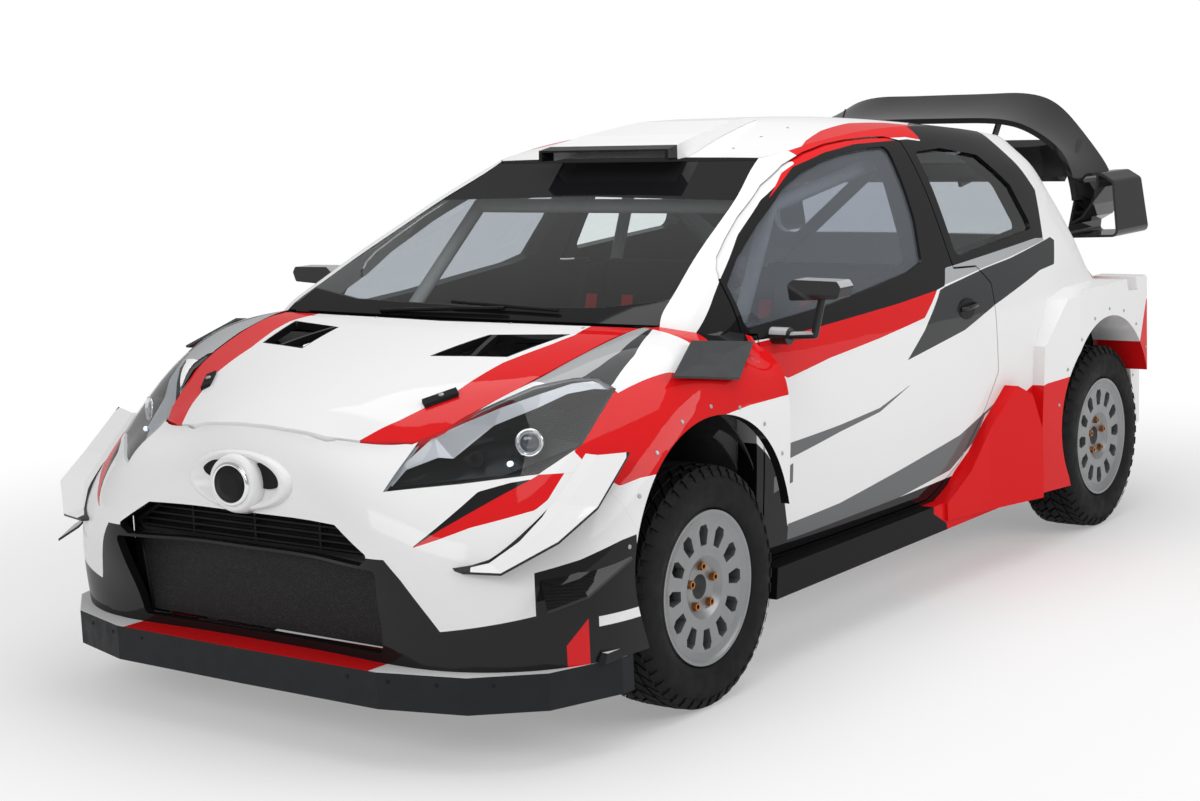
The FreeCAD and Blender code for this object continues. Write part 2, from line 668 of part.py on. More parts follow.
def upper_grille():
    """A slatted panel in the upper mouth with a bare oval pod above it."""
    whole = mouth_face(UPPER_MOUTH, GRILLE_Y + 2, 22, SEAT_GAP)
    inner = mouth_face(UPPER_MOUTH, GRILLE_Y - 5, 60, 9)
    bars = [whole.cut(inner)]
    z = 512.0
    while z < 585:
        bars.append(box(-460, 460, GRILLE_Y + 4, GRILLE_Y + 18, z, z + 5).common(whole))
        z += SLAT_STEP
    for x in (-230, 0, 230):
        bars.append(box(x - 3, x + 3, GRILLE_Y + 5, GRILLE_Y + 16, 495, 600).common(whole))
    return fuse(bars)


def splitter():
    """The deep lip under the nose, hollow from behind, with end boards ahead of the wheels."""
    plan = [(0, NOSE_Y), (470, NOSE_Y + 4), (700, NOSE_Y + 70), (850, NOSE_Y + 200), (922, NOSE_Y + 400),
            (925, -1600), (560, -1600), (500, -1860), (0, -1870)]
    plan += [(-x, y) for x, y in reversed(plan[1:-1])]
    top = BUMPER_FOOT - SEAT_GAP
    lip = prism(plan, "xy", SPLITTER_Z, top)
    room = [(0, NOSE_Y + LIP_WALL), (460, NOSE_Y + LIP_WALL + 4), (685, NOSE_Y + LIP_WALL + 68),
            (828, NOSE_Y + 215), (900, NOSE_Y + 402), (902, -1500), (0, -1500)]
    room += [(-x, y) for x, y in reversed(room[1:-1])]
    lip = lip.cut(prism(room, "xy", SPLITTER_Z + LIP_FLOOR, top - LIP_FLOOR))
    board = prism([(-1600, top - 2), (-1600, 268), (-1700, 268), (-1712, top - 2)], "yz", 900, 922)
    keep_out = sheet(FRONT, SEAT_GAP, -60)
    board = board.cut(keep_out)
    return fuse([lip, board, mirrored(board)])


CANARD_LIFT = FreeCAD.Vector(0, -2, 6.5)
CANARD_SAG = 1.4
DIVE_PLANE = [((600, -1950, 524), (690, -1952, 494)), ((690, -1880, 540), (790, -1930, 496)),
              ((735, -1812, 584), (900, -1845, 566)), ((755, -1740, 645), (930, -1725, 630)),
              ((765, -1632, 738), (930, -1588, 740))]
LOWER_PLANE = [((800, -1805, 492), (886, -1880, 404)), ((845, -1730, 506), (932, -1782, 424)),
               ((885, -1615, 536), (932, -1596, 480))]


def dive_plane(edges):
    """A thin curved plate between pairs of inner and outer points, hollowed a little along its middle."""
    sections = []
    for inner, outer in edges:
        a = V(*inner)
        b = V(*outer)
        middle = (a + b) * 0.5 - CANARD_LIFT * CANARD_SAG
        corners = [a, middle, b, b + CANARD_LIFT, middle + CANARD_LIFT, a + CANARD_LIFT]
        sections.append(Part.makePolygon(corners + corners[:1]))
    return Part.makeLoft(sections, True, True)


def canards():
    """A broad dive plane and a smaller one below it on each corner of the bumper."""
    keep_out = sheet(FRONT, SEAT_GAP, -60)
    planes = []
    for edges in (DIVE_PLANE, LOWER_PLANE):
        plane = dive_plane(edges).cut(keep_out)
        planes.append(max(plane.Solids, key=lambda piece: piece.Volume))
    return planes


REAR_INWARD = -1
SHELF_Z = 744.0


def rear_parts():
    """Bumper skin and diffuser behind the rear wheels."""
    columns = [(0, 1985), (300, 1978), (560, 1950), (740, 1870), (815, 1760), (840, 1660), (845, 1600)]
    rows = [(300, 0), (420, 8), (560, 10), (680, -14), (752, -70)]
    grid = []
    for x, y in columns:
        lean = 1 - 0.75 * step((x - 500) / 330.0)
        grid.append([V(x, y + dy * lean, z) for z, dy in rows])
    whole = sheet(full_width(grid), 0, REAR_INWARD * PANEL_THICK)
    whole = whole.common(box(-1000, 1000, FLARE_END + SEAT_GAP, 2100, 305, 760))
    side_wall = sheet(SIDE, SEAT_GAP, -DOOR_THICK - SEAT_GAP)
    for cut in (arch_cutter(REAR_ARCH, 300, 1000, 4), side_wall):
        whole = whole.cut(cut).cut(mirrored(cut))
    diffuser = [prism([(1610, 205), (2010, 296), (TAIL_Y, 296), (TAIL_Y, 276), (1990, 268), (1610, 189)],
                      "yz", -540, 540)]
    for x in (-530, -320, -110, 110, 320, 530):
        diffuser.append(prism([(1640, 200), (1990, 280), (2030, 280), (2010, 215), (1700, 165)],
                              "yz", x - 5, x + 5))
    shelf = prism([(-720, 1560), (720, 1560), (720, 1815), (560, 1885), (300, 1912), (-300, 1912), (-560, 1885),
                   (-720, 1815)], "xy", SHELF_Z - 8, SHELF_Z)
    shelf = shelf.cut(side_wall).cut(mirrored(side_wall))
    pipe_hole = rod((-200, 1700, 316), (-200, 2100, 338), EXHAUST_RADIUS + 12)
    return whole.fuse(shelf).removeSplitter().cut(pipe_hole), fuse(diffuser)


SKIRT_REAR = FLARE_START + 55
SKIRT_X = 812.0


def skirts():
    """Sill boards with the flared duct ahead of each rear wheel."""
    clear = sheet(SIDE, SEAT_GAP, -DOOR_THICK)
    board = prism([(-850, 205), (-838, 292), (SKIRT_REAR - 60, 292), (SKIRT_REAR, 205)], "yz", SKIRT_X, 872)
    duct = prism([(SKIRT_REAR, 202), (150, 235), (150, 290), (300, 366), (450, 502), (600, 600), (690, 560),
                  (SKIRT_REAR, 430)], "yz", SKIRT_X, 930)
    taper = prism([(930, 820), (945, 820), (945, 120), (880, 120), (893, 420)], "xy", 100, 700)
    whole = board.fuse(duct.cut(taper)).removeSplitter()
    return max(whole.cut(clear).Solids, key=lambda piece: piece.BoundBox.XMax)


# The tub: floor, sills, bulkheads, rails and rear wheel houses
TUNNEL_HALF = 120.0
TUNNEL_TOP = 330.0
BULKHEAD_Y = (-822.0, -806.0)
BULKHEAD_TOP = 935.0
SILL_TOP = 300.0
SILL_WIDTH = 78.0
HINGE_POST = 30.0
REAR_STEP_Y = 912.0
REAR_FLOOR_Z = (372.0, 390.0)
RAIL_X = (420.0, 490.0)
RAIL_Z = (345.0, 420.0)
BEAM_Y = (-1868.0, -1820.0)
REAR_BEAM_Y = (1880.0, 1925.0)
REAR_BEAM_Z = (364.0, 430.0)
TOWER_TOP = 800.0
TOWER_CAP = 8.0
ARM_Z = 276.0
EYE_TOP = 282.0
RACK_Y = -1085.0
RACK_Z = 318.0
RACK_RADIUS = 14.0
TIE_GAP = 8.0


def kingpin(z):
    """A point of the left steering axis at a height."""
    share = (z - KINGPIN_LOW[1]) / (KINGPIN_TOP[1] - KINGPIN_LOW[1])
    return V(KINGPIN_LOW[0] + share * (KINGPIN_TOP[0] - KINGPIN_LOW[0]), FRONT_Y, z)


def wheel_house(y, reach):
    """Half of a drum over a wheel, closed by a disc beside the rail."""
    x0 = RAIL_X[1] + SEAT_GAP
    outer = Part.makeCylinder(LINER_RADIUS + LINER_WALL, reach - x0, V(x0, y, 400), X_AXIS)
    inner = Part.makeCylinder(LINER_RADIUS, reach, V(x0 + LINER_WALL, y, 400), X_AXIS)
    return outer.cut(inner).common(box(0, 1000, y - 500, y + 500, REAR_FLOOR_Z[0] + 4, 900))


def wheel_houses():
    """The four drums over the wheels, with the towers that hold the struts and dampers."""
    front = wheel_house(FRONT_Y, 816)
    rear = wheel_house(REAR_Y, FLARE_INNER - 5)
    strut_x = kingpin(TOWER_TOP).x
    tower = Part.makeCylinder(92, 30, V(strut_x, FRONT_Y, TOWER_TOP - 30))
    tower_rear = Part.makeCylinder(70, 24, V(640, REAR_Y, TOWER_TOP - 24))
    strut_hole = Part.makeCylinder(STRUT_RADIUS + 20, 500, V(strut_x + 4, FRONT_Y, 500), Z_AXIS)
    cap = Part.makeCylinder(STRUT_RADIUS + 26, TOWER_CAP, V(strut_x + 4, FRONT_Y, TOWER_TOP - TOWER_CAP))
    damper_hole = Part.makeCylinder(34, 200, V(640, REAR_Y, TOWER_TOP - 200 - TOWER_CAP))
    clear = [sheet(SIDE, SEAT_GAP, -DOOR_THICK - SEAT_GAP)]
    for y0, y1 in (BULKHEAD_Y, (REAR_STEP_Y - 12, REAR_STEP_Y)):
        clear.append(box(-1000, 1000, y0 - SEAT_GAP, y1 + SEAT_GAP, 0, BULKHEAD_TOP))
    front = front.fuse(tower).cut(strut_hole).fuse(cap).removeSplitter()
    rear = rear.fuse(tower_rear).removeSplitter().cut(damper_hole)
    for cut in clear:
        front = front.cut(cut)
        rear = rear.cut(cut)
    pieces = [max(half.Solids, key=lambda piece: piece.Volume) for half in (front, rear)]
    return Part.makeCompound(pieces + [mirrored(piece) for piece in pieces])


def tub():
    floor = box(-TUB_HALF, TUB_HALF, BULKHEAD_Y[0], REAR_STEP_Y, FLOOR_Z, FLOOR_TOP)
    tunnel = box(-TUNNEL_HALF, TUNNEL_HALF, BULKHEAD_Y[0], REAR_STEP_Y, FLOOR_Z, TUNNEL_TOP)
    tunnel_bore = box(-TUNNEL_HALF + 12, TUNNEL_HALF - 12, -900, 1100, FLOOR_Z - 1, TUNNEL_TOP - 12)
    sill = box(TUB_HALF - SILL_WIDTH, TUB_HALF, BULKHEAD_Y[0], 890, FLOOR_Z, SILL_TOP)
    bulkhead = box(-TUB_HALF, TUB_HALF, *BULKHEAD_Y, FLOOR_Z, BULKHEAD_TOP)
    step_wall = box(-TUB_HALF, TUB_HALF, REAR_STEP_Y - 12, REAR_STEP_Y, FLOOR_Z, REAR_FLOOR_Z[1])
    rear_floor = box(-RAIL_X[1], RAIL_X[1], REAR_STEP_Y - 12, REAR_BEAM_Y[1], *REAR_FLOOR_Z)
    rear_beam = box(-620, 620, *REAR_BEAM_Y, *REAR_BEAM_Z)
    front_beam = box(-560, 560, *BEAM_Y, *RAIL_Z)
    pieces = [floor, tunnel, bulkhead, step_wall, rear_floor, rear_beam, front_beam]
    for part in (sill, box(*RAIL_X, BEAM_Y[0], BULKHEAD_Y[1], *RAIL_Z),
                 box(*RAIL_X, REAR_STEP_Y - 12, REAR_BEAM_Y[1], RAIL_Z[0], REAR_FLOOR_Z[0] + 2)):
        pieces += [part, mirrored(part)]
    whole = fuse(pieces).cut(tunnel_bore)
    clear = sheet(SIDE, SEAT_GAP, -DOOR_THICK - SEAT_GAP)
    whole = whole.cut(clear).cut(mirrored(clear))
    hinges = []
    x, y = DOOR_HINGE
    for z in HINGE_Z:
        post = box(TUB_HALF - HINGE_POST, TUB_HALF, BULKHEAD_Y[0], y + HINGE_PIN, z, z + HINGE_ARM)
        arm = box(TUB_HALF - 1, x, y - HINGE_PIN, y + HINGE_PIN, z, z + HINGE_ARM)
        knuckle_ring = Part.makeCylinder(HINGE_KNUCKLE, HINGE_ARM, V(x, y, z))
        pin = Part.makeCylinder(HINGE_PIN, HINGE_ARM + 34, V(x, y, z))
        hinges += [post, arm, knuckle_ring, pin]
    return fuse([whole] + hinges + [mirrored(h) for h in hinges])


HINGE_Z = (450.0, 760.0)
HINGE_ARM = 24.0


def hinge_pockets():
    """Room in the left door for the hinge arms, and the bores that turn on their pins."""
    cuts = []
    x, y = DOOR_HINGE
    for z in HINGE_Z:
        room = HINGE_KNUCKLE + 3
        cuts.append(box(TUB_HALF - 60, x + room, y - 60, y + room, z - 6, z + HINGE_ARM + 1))
        cuts.append(Part.makeCylinder(HINGE_PIN + FIT, HINGE_ARM + 36, V(x, y, z)))
    return cuts


def roll_cage():
    foot = FLOOR_TOP + SEAT_GAP
    top = (500, HOOP_Y, 1350)
    hoop = [(630, HOOP_Y, foot), (630, HOOP_Y, 330), (690, HOOP_Y, 700), top]
    paths = [hoop + [(-x, y, z) for x, y, z in reversed(hoop)]]
    for s in (1, -1):
        corner = (s * 560, -330, 1250)
        paths.append([(s * 620, -735, foot), (s * 620, -735, 330), (s * 655, -742, 800), corner,
                      (s * top[0], HOOP_Y, top[2])])
        paths.append([(s * top[0], HOOP_Y, top[2]), (s * 430, 1150, 800), (s * 430, 1150, REAR_FLOOR_Z[1] + SEAT_GAP)])
        paths.append([(s * 668, HOOP_Y, 560), (s * 638, -739, 500)])
        paths.append([(s * 650, -741, 620), (s * 655, HOOP_Y, 480)])
    paths.append([(560, -330, 1250), (-560, -330, 1250)])
    paths.append([top, (-645, HOOP_Y, 420)])
    paths.append([(-top[0], HOOP_Y, top[2]), (645, HOOP_Y, 420)])
    pieces = []
    for path in paths:
        pieces += tube_path(path, CAGE_RADIUS)
    for s in (1, -1):
        for p in ((s * top[0], HOOP_Y, top[2]), (s * 560, -330, 1250)):
            pieces.append(Part.makeSphere(CAGE_RADIUS + 1, V(*p)))
    return fuse(pieces)


def seat():
    """A bucket seat: a bent shell with side bolsters and head wings."""
    half = SEAT_HALF
    side = [(-250, 250), (230, 235), (330, 330), (430, 960), (400, 1010), (340, 1010), (250, 420), (180, 330),
            (-230, 330)]
    shell = prism(side, "yz", -half, half)
    dish = prism([(-300, 345), (175, 345), (240, 420), (325, 1100), (-300, 1100)], "yz", 52 - half, half - 52)
    wing_side = [(-240, 290), (200, 290), (300, 330), (405, 1000), (230, 1000), (150, 820), (190, 620), (60, 480),
                 (-230, 420)]
    wings = prism(wing_side, "yz", -half, half)
    wings = wings.cut(box(30 - half, half - 30, -400, 600, 200, 1100))
    whole = shell.fuse(wings).cut(dish).removeSplitter()
    base = box(60 - half, half - 60, -160, 200, FLOOR_TOP + SEAT_GAP, 262)
    whole = whole.fuse(base).removeSplitter()
    whole.translate(V(SEAT_X, 0, 0))
    return whole


def dashboard():
    side = [(BULKHEAD_Y[1] + SEAT_GAP, 700), (BULKHEAD_Y[1] + SEAT_GAP, 905), (-640, 925), (-520, 890), (-500, 800),
            (-600, 700)]
    body = prism(side, "yz", -600, 600)
    binnacle = prism([(-640, 900), (-520, 885), (-500, 930), (-640, 950)], "yz", SEAT_X - 110, SEAT_X + 110)
    console = prism([(-700, TUNNEL_TOP + SEAT_GAP), (-560, TUNNEL_TOP + SEAT_GAP), (-560, 720), (-700, 720)],
                    "yz", -90, 90)
    column_hole = rod(tuple(COLUMN_END), tuple(WHEEL_CENTRE), COLUMN_RADIUS + FIT)
    return fuse([body, binnacle, console]).cut(column_hole)


def engine():
    block = box(-250, 250, -1560, ENGINE_REAR, 300, 760)
    gearbox = box(250, 395, -1500, -1310, 300, 560)
    head = prism([(-1540, 760), (-1500, 800), (-1240, 800), (-1200, 760)], "yz", -230, 230)
    mounts = [box(395, 420 - SEAT_GAP, -1440, -1340, 350, 400), box(-420 + SEAT_GAP, -250, -1440, -1340, 350, 400)]
    radiator = box(-330, 330, BEAM_Y[0], BEAM_Y[1] + 6, RAIL_Z[1] + SEAT_GAP, 650)
    return fuse([block, gearbox, head] + mounts), radiator


def front_suspension():
    """Subframe with two lower arms that end at the ball joints."""
    frame = box(-330, 330, -1290, -1000, 250, 285)
    legs = [box(300, 340, -1290, -1230, 250, RAIL_Z[0] - SEAT_GAP), box(300, 340, -1060, -1000, 250,
            RAIL_Z[0] - SEAT_GAP)]
    feet = [box(300, 480, -1290, -1230, 300, RAIL_Z[0] - SEAT_GAP), box(300, 480, -1060, -1000, 300,
            RAIL_Z[0] - SEAT_GAP)]
    tip = kingpin(ARM_Z)
    arm = prism([(320, -1285), (tip.x, FRONT_Y - 20), (tip.x, FRONT_Y + 20), (320, -1010), (320, -1060),
                 (520, -1200), (520, -1225), (320, -1240)], "xy", ARM_Z - 20, ARM_Z)
    eye = rod(tuple(kingpin(ARM_Z - 20)), tuple(kingpin(EYE_TOP)), 22)
    shaft = rod((250 + SEAT_GAP, FRONT_Y, HUB_Z), (625, FRONT_Y, HUB_Z), 14)
    guide = box(225, 275, RACK_Y - 30, RACK_Y + 30, 284, RACK_Z + 28)
    bore = rod((200, RACK_Y, RACK_Z), (300, RACK_Y, RACK_Z), RACK_RADIUS + FIT)
    arm = arm.fuse(eye)
    pieces = [frame]
    for part in legs + feet + [arm, guide]:
        pieces += [part, mirrored(part)]
    whole = fuse(pieces).cut(bore).cut(mirrored(bore))
    return whole, shaft


def rear_suspension():
    """Subframe, arms, dampers, uprights, calipers and hub spindles of the rear wheels."""
    frame = box(-360, 360, REAR_Y - 110, REAR_Y + 130, 255, 290)
    pieces = [frame]
    for y in (REAR_Y - 90, REAR_Y + 90):
        leg = box(420, 470, y - 20, y + 20, 255, RAIL_Z[0] - SEAT_GAP)
        shelf = box(340, 470, y - 20, y + 20, 255, 290)
        arm = rod((340, y, 270), (660, REAR_Y + (y - REAR_Y) * 0.4, 262), 17)
        pieces += [leg, mirrored(leg), shelf, mirrored(shelf), arm, mirrored(arm)]
    upright = box(640, 672, REAR_Y - 55, REAR_Y + 55, 230, 420)
    flange = Part.makeCylinder(62, DISC_X - 10 - 660, V(660, REAR_Y, HUB_Z), X_AXIS)
    spindle = Part.makeCylinder(HUB_BORE - FIT, 140, V(690, REAR_Y, HUB_Z), X_AXIS)
    damper = rod((656, REAR_Y, 400), (640, REAR_Y, TOWER_TOP - TOWER_CAP - 2), 24)
    bracket = box(655, DISC_X - 16, REAR_Y + 40, REAR_Y + 112, HUB_Z - 45, HUB_Z + 45)
    trail = rod((660, REAR_Y - 40, 270), (460, REAR_Y - 100, 275), 15)
    shaft = rod((100, REAR_Y, HUB_Z), (680, REAR_Y, HUB_Z), 16)
    diff = box(-100, 100, REAR_Y - 120, REAR_Y + 90, 285, 372 - SEAT_GAP)
    pieces.append(diff)
    for part in (upright, flange, spindle, damper, trail, shaft, bracket, caliper(REAR_Y)):
        pieces += [part, mirrored(part)]
    return fuse(pieces)


def caliper(y):
    """A caliper that straddles the disc behind the axle."""
    outer = Part.makeCylinder(DISC_RADIUS + 18, 76, V(DISC_X - 24, y, HUB_Z), X_AXIS)
    inner = Part.makeCylinder(92, 200, V(DISC_X - 60, y, HUB_Z), X_AXIS)
    ring = outer.cut(inner)
    slot = Part.makeCylinder(DISC_RADIUS + 5, DISC_THICK + 10, V(DISC_X - 5, y, HUB_Z), X_AXIS)
    wedge = prism([(y + 60, HUB_Z - 70), (y + 260, HUB_Z - 150), (y + 260, HUB_Z + 150), (y + 60, HUB_Z + 70)],
                  "yz", 600, 900)
    return ring.cut(slot).common(wedge)


DISC_X = 742.0


def wheel(side_sign, y):
    """Tyre, rim and brake disc about an axle along X at the left side."""
    cx = WHEEL_CENTRE_X
    w = TYRE_WIDTH / 2
    r = TYRE_RADIUS
    outline = [(-RIM_WIDTH / 2 + 4, RIM_RADIUS + SEAT_GAP), (-w + 4, RIM_RADIUS + 35), (-w, RIM_RADIUS + 62),
               (-w + 8, r - 28), (-w + 22, r - 6), (-w + 34, r), (w - 34, r), (w - 22, r - 6), (w - 8, r - 28),
               (w, RIM_RADIUS + 62), (w - 4, RIM_RADIUS + 35), (RIM_WIDTH / 2 - 4, RIM_RADIUS + SEAT_GAP)]
    points = [V(cx + x, y, HUB_Z + z) for x, z in outline]
    tyre = Part.Face(Part.makePolygon(points + points[:1])).revolve(V(0, y, HUB_Z), X_AXIS, 360)
    h = RIM_WIDTH / 2
    rr = RIM_RADIUS
    dish = [(-h, rr), (-h, rr - 14), (-h + 14, rr - 22), (h - 60, rr - 32), (h - 40, rr - 44), (h - 34, 96),
            (h - 52, 78), (h - 52, HUB_BORE), (h - 30, HUB_BORE), (h - 26, 62), (h - 12, 84), (h - 10, rr - 34),
            (h - 4, rr - 16), (h, rr - 8), (h, rr)]
    points = [V(cx + x, y, HUB_Z + z) for x, z in dish]
    rim = Part.Face(Part.makePolygon(points + points[:1])).revolve(V(0, y, HUB_Z), X_AXIS, 360)
    hub_tube = Part.makeCylinder(80, 48, V(cx + h - 90, y, HUB_Z), X_AXIS)
    hub_tube = hub_tube.cut(Part.makeCylinder(HUB_BORE, 60, V(cx + h - 95, y, HUB_Z), X_AXIS))
    rim = rim.fuse(hub_tube)
    windows = []
    for i in range(RIM_WINDOWS):
        angle = 2 * math.pi * i / RIM_WINDOWS
        radial = [(112, -13), (150, -21), (166, -13), (166, 13), (150, 21), (112, 13)]
        corners = []
        for a, b in radial:
            corners.append(V(cx - 40, y + a * math.sin(angle) + b * math.cos(angle),
                             HUB_Z + a * math.cos(angle) - b * math.sin(angle)))
        windows.append(Part.Face(Part.makePolygon(corners + corners[:1])).extrude(V(200, 0, 0)))
    rim = rim.cut(windows).removeSplitter()
    disc = Part.makeCylinder(DISC_RADIUS, DISC_THICK, V(DISC_X, y, HUB_Z), X_AXIS)
    disc = disc.fuse(Part.makeCylinder(78, cx + h - 90 - SEAT_GAP - DISC_X, V(DISC_X, y, HUB_Z), X_AXIS))
    disc = disc.cut(Part.makeCylinder(HUB_BORE, 200, V(DISC_X - 20, y, HUB_Z), X_AXIS))
    return tyre, rim, disc


def knuckle():
    """Upright, hub spindle, strut, steering arm and caliper that turn with a front wheel."""
    low = kingpin(EYE_TOP)
    axis = kingpin(600) - kingpin(300)
    axis.normalize()
    start = low + axis * SEAT_GAP
    ball = rod(tuple(start), tuple(start + axis * 40), 19)
    body = box(655, 698, FRONT_Y - 45, FRONT_Y + 45, 292, 400)
    clamp = box(648, 700, FRONT_Y - 30, FRONT_Y + 30, 380, 450)
    flange = Part.makeCylinder(60, DISC_X - 10 - 674, V(674, FRONT_Y, HUB_Z), X_AXIS)
    flange = flange.common(box(600, 800, -3000, 0, 290, 500))
    spindle = Part.makeCylinder(HUB_BORE - FIT, 140, V(690, FRONT_Y, HUB_Z), X_AXIS)
    top = kingpin(TOWER_TOP - TOWER_CAP - SEAT_GAP - 6)
    strut = rod(tuple(kingpin(420)), tuple(top), STRUT_RADIUS)
    steer = rod((672, FRONT_Y + 40, RACK_Z), (668, RACK_Y, RACK_Z), 13)
    eye = Part.makeCylinder(17, 30, V(668, RACK_Y, RACK_Z - 15))
    bracket = box(655, DISC_X - 16, FRONT_Y - 112, FRONT_Y - 40, HUB_Z - 30, HUB_Z + 45)
    grip = caliper(FRONT_Y).mirror(V(0, FRONT_Y, 0), Y_AXIS)
    return fuse([body, clamp, flange, spindle, strut, steer, eye, bracket, grip, ball])


def rack():
    bar = rod((-420, RACK_Y, RACK_Z), (420, RACK_Y, RACK_Z), RACK_RADIUS)
    tie = rod((410, RACK_Y, RACK_Z), (668 - 17 - TIE_GAP, RACK_Y, RACK_Z), 9)
    return fuse([bar, tie, mirrored(tie)])


WHEEL_CENTRE = V(SEAT_X, -330, 860)
COLUMN_END = V(SEAT_X, BULKHEAD_Y[1] + 14, 688.0)


def steering_wheel():
    back = COLUMN_END - WHEEL_CENTRE
    back.normalize()
    ring = Part.makeTorus(STEERING_WHEEL_RADIUS, 14, WHEEL_CENTRE, back)
    column = rod(tuple(WHEEL_CENTRE - back * 12), tuple(COLUMN_END), COLUMN_RADIUS)
    hub = rod(tuple(WHEEL_CENTRE - back * 16), tuple(WHEEL_CENTRE + back * 20), 45)
    spokes = []
    up = X_AXIS.cross(back)
    for angle in (0, 180, 270):
        a = math.radians(angle)
        tip = WHEEL_CENTRE + (X_AXIS * math.cos(a) + up * math.sin(a)) * STEERING_WHEEL_RADIUS
        spokes.append(rod(tuple(WHEEL_CENTRE), tuple(tip), 9))
    return fuse([ring, column, hub] + spokes)


def mirror_part():
    """A slim housing on a bent stalk."""
    housing = rounded([(868, 1022), (1020, 1030), (1032, 1060), (1020, 1078), (880, 1080), (862, 1066)], 9, "xz",
                      -735, -665)
    stalk = tube_path([(866, -735, 925), (935, -715, 928), (952, -700, 1028)], 11)
    foot = Part.makeCylinder(24, 82, V(790, -742, 925), X_AXIS)
    whole = fuse([housing, foot] + stalk).cut(sheet(SIDE, SEAT_GAP, -DOOR_THICK))
    return max(whole.Solids, key=lambda piece: piece.Volume)


WING_Z = 1527.0
WING_FRONT = 1550.0
WING_REAR = 1900.0
WING_THICK = 20.0
HOOP_FRONT = [(0, 1446), (220, 1445), (392, 1438), (475, 1420), (552, 1383), (612, 1340), (657, 1284), (684, 1204),
              (694, 1140)]
HOOP_REAR = [(0, WING_Z), (200, WING_Z), (340, WING_Z - 4), (420, WING_Z - 24), (488, WING_Z - 68),
             (548, WING_Z - 132), (616, 1310), (672, 1222), (690, 1150)]
WING_SAG = 12.0
TUNNEL_PLAN = (1560.0, 1860.0)
WING_TUNNEL = [(640, 998), (668, 1196), (702, 1232), (762, 1234), (812, 1204), (842, 1004)]
TUNNEL_WALL = 9.0
STRUT_X = 300.0


def wing_hoop():
    """The upper plane and the two legs that it bends down into, as one thick sheet."""
    grid = []
    for front, rear in zip(HOOP_FRONT, HOOP_REAR):
        middle = ((front[0] + rear[0]) / 2, (front[1] + rear[1]) / 2 - WING_SAG)
        grid.append([V(front[0], WING_FRONT, front[1]), V(middle[0], (WING_FRONT + WING_REAR) / 2, middle[1]),
                     V(rear[0], WING_REAR, rear[1])])
    whole = full_width(grid)
    sign = 1 if grid_up(whole) < 0 else -1
    return sheet(whole, 0, sign * WING_THICK)


def wing():
    """The hoop, a lower plane across it, a tunnel under each leg and the struts that carry them."""
    slope = [(1500, 1210), (1505, 1226), (1800, 1350), (1802, 1340)]
    ends = [(-676, 1200), (676, 1200), (600, 1356), (-600, 1356)]
    lower = prism(slope, "yz", -700, 700).common(prism(ends, "xz", 1450, 1850))
    tunnel = rounded(WING_TUNNEL, 22, "xz", *TUNNEL_PLAN)
    hollow = rounded(WING_TUNNEL, 14, "xz", TUNNEL_PLAN[0] - 10, TUNNEL_PLAN[1] + 10, -TUNNEL_WALL)
    slant = prism([(TUNNEL_PLAN[0], 900), (TUNNEL_PLAN[0] - 10, 900), (TUNNEL_PLAN[0] - 10, 1300),
                   (TUNNEL_PLAN[0] + 60, 1300), (TUNNEL_PLAN[0] + 50, 1200)], "yz", 600, 900)
    leaf = prism([(655, 1046), (700, 1070), (735, 1120), (752, 1180), (750, 1229), (742, 1229), (743, 1182),
                  (727, 1124), (694, 1077), (653, 1054)], "xz", *TUNNEL_PLAN)
    shell = fuse([tunnel.cut(hollow), leaf]).cut(slant)
    strut = prism([(1585, 1256), (1640, 1278), (1800, 1482), (1748, 1470)], "yz", STRUT_X - 4, STRUT_X + 4)
    foot = prism([(1340, 1236), (1520, 1228), (1520, 1216), (1360, 1190)], "yz", STRUT_X - 6, STRUT_X + 6)
    lid = tail_slab().common(box(-900, 900, 1290, 1900, 700, LID_TOP))
    outside = prism([(1000, 700), (1290, 700), (1290, 1300), (1000, 1300)], "yz", 200, 400)
    foot = max(foot.cut(outside).cut(lid).Solids, key=lambda piece: piece.BoundBox.YMax)
    side = [shell, strut, foot]
    return fuse([wing_hoop(), lower] + side + [mirrored(part) for part in side])


def scoop():
    """A flat intake on the front of the roof."""
    side = [(-402, 1394), (-400, 1428), (-200, 1464), (60, 1498), (250, 1500), (250, 1400)]
    plan = [(-250, -420), (250, -420), (232, -200), (150, 255), (-150, 255), (-232, -200)]
    form = prism(side, "yz", -300, 300).common(prism(plan, "xy", 1300, 1600))
    grid = roof_grid()
    sign = 1 if grid_up(grid) < 0 else -1
    under = sheet(grid, -2 * sign * SEAT_GAP, sign * 400)
    hollow_side = [(-500, 1380), (-500, 1405), (-198, 1456), (60, 1490), (180, 1487), (180, 1380)]
    hollow_plan = [(-242, -520), (242, -520), (224, -200), (160, 180), (-160, 180), (-224, -200)]
    hollow = prism(hollow_side, "yz", -300, 300).common(prism(hollow_plan, "xy", 1300, 1600))
    return form.cut(under).cut(hollow)


def exhaust():
    """Pipe from the engine through the tunnel, under the rear axle to a silencer and tail pipe."""
    route = [(0, ENGINE_REAR + SEAT_GAP, 470), (0, -900, 262), (0, 960, 262), (0, 1090, 224), (-200, 1440, 224),
             (-200, 1500, 308)]
    can = Part.makeCylinder(54, 330, V(-200, 1480, 314), Y_AXIS)
    tail = rod((-200, 1780, 318), (-200, 2030, 334), EXHAUST_RADIUS)
    tip = rod((-200, 1990, 331.44), (-200, 2036, 334.384), TIP_RADIUS)
    front_cut = box(-100, 100, ENGINE_REAR - 100, ENGINE_REAR + SEAT_GAP, 300, 700)
    return fuse(tube_path(route, EXHAUST_RADIUS) + [can, tail, tip]).cut(front_cut)


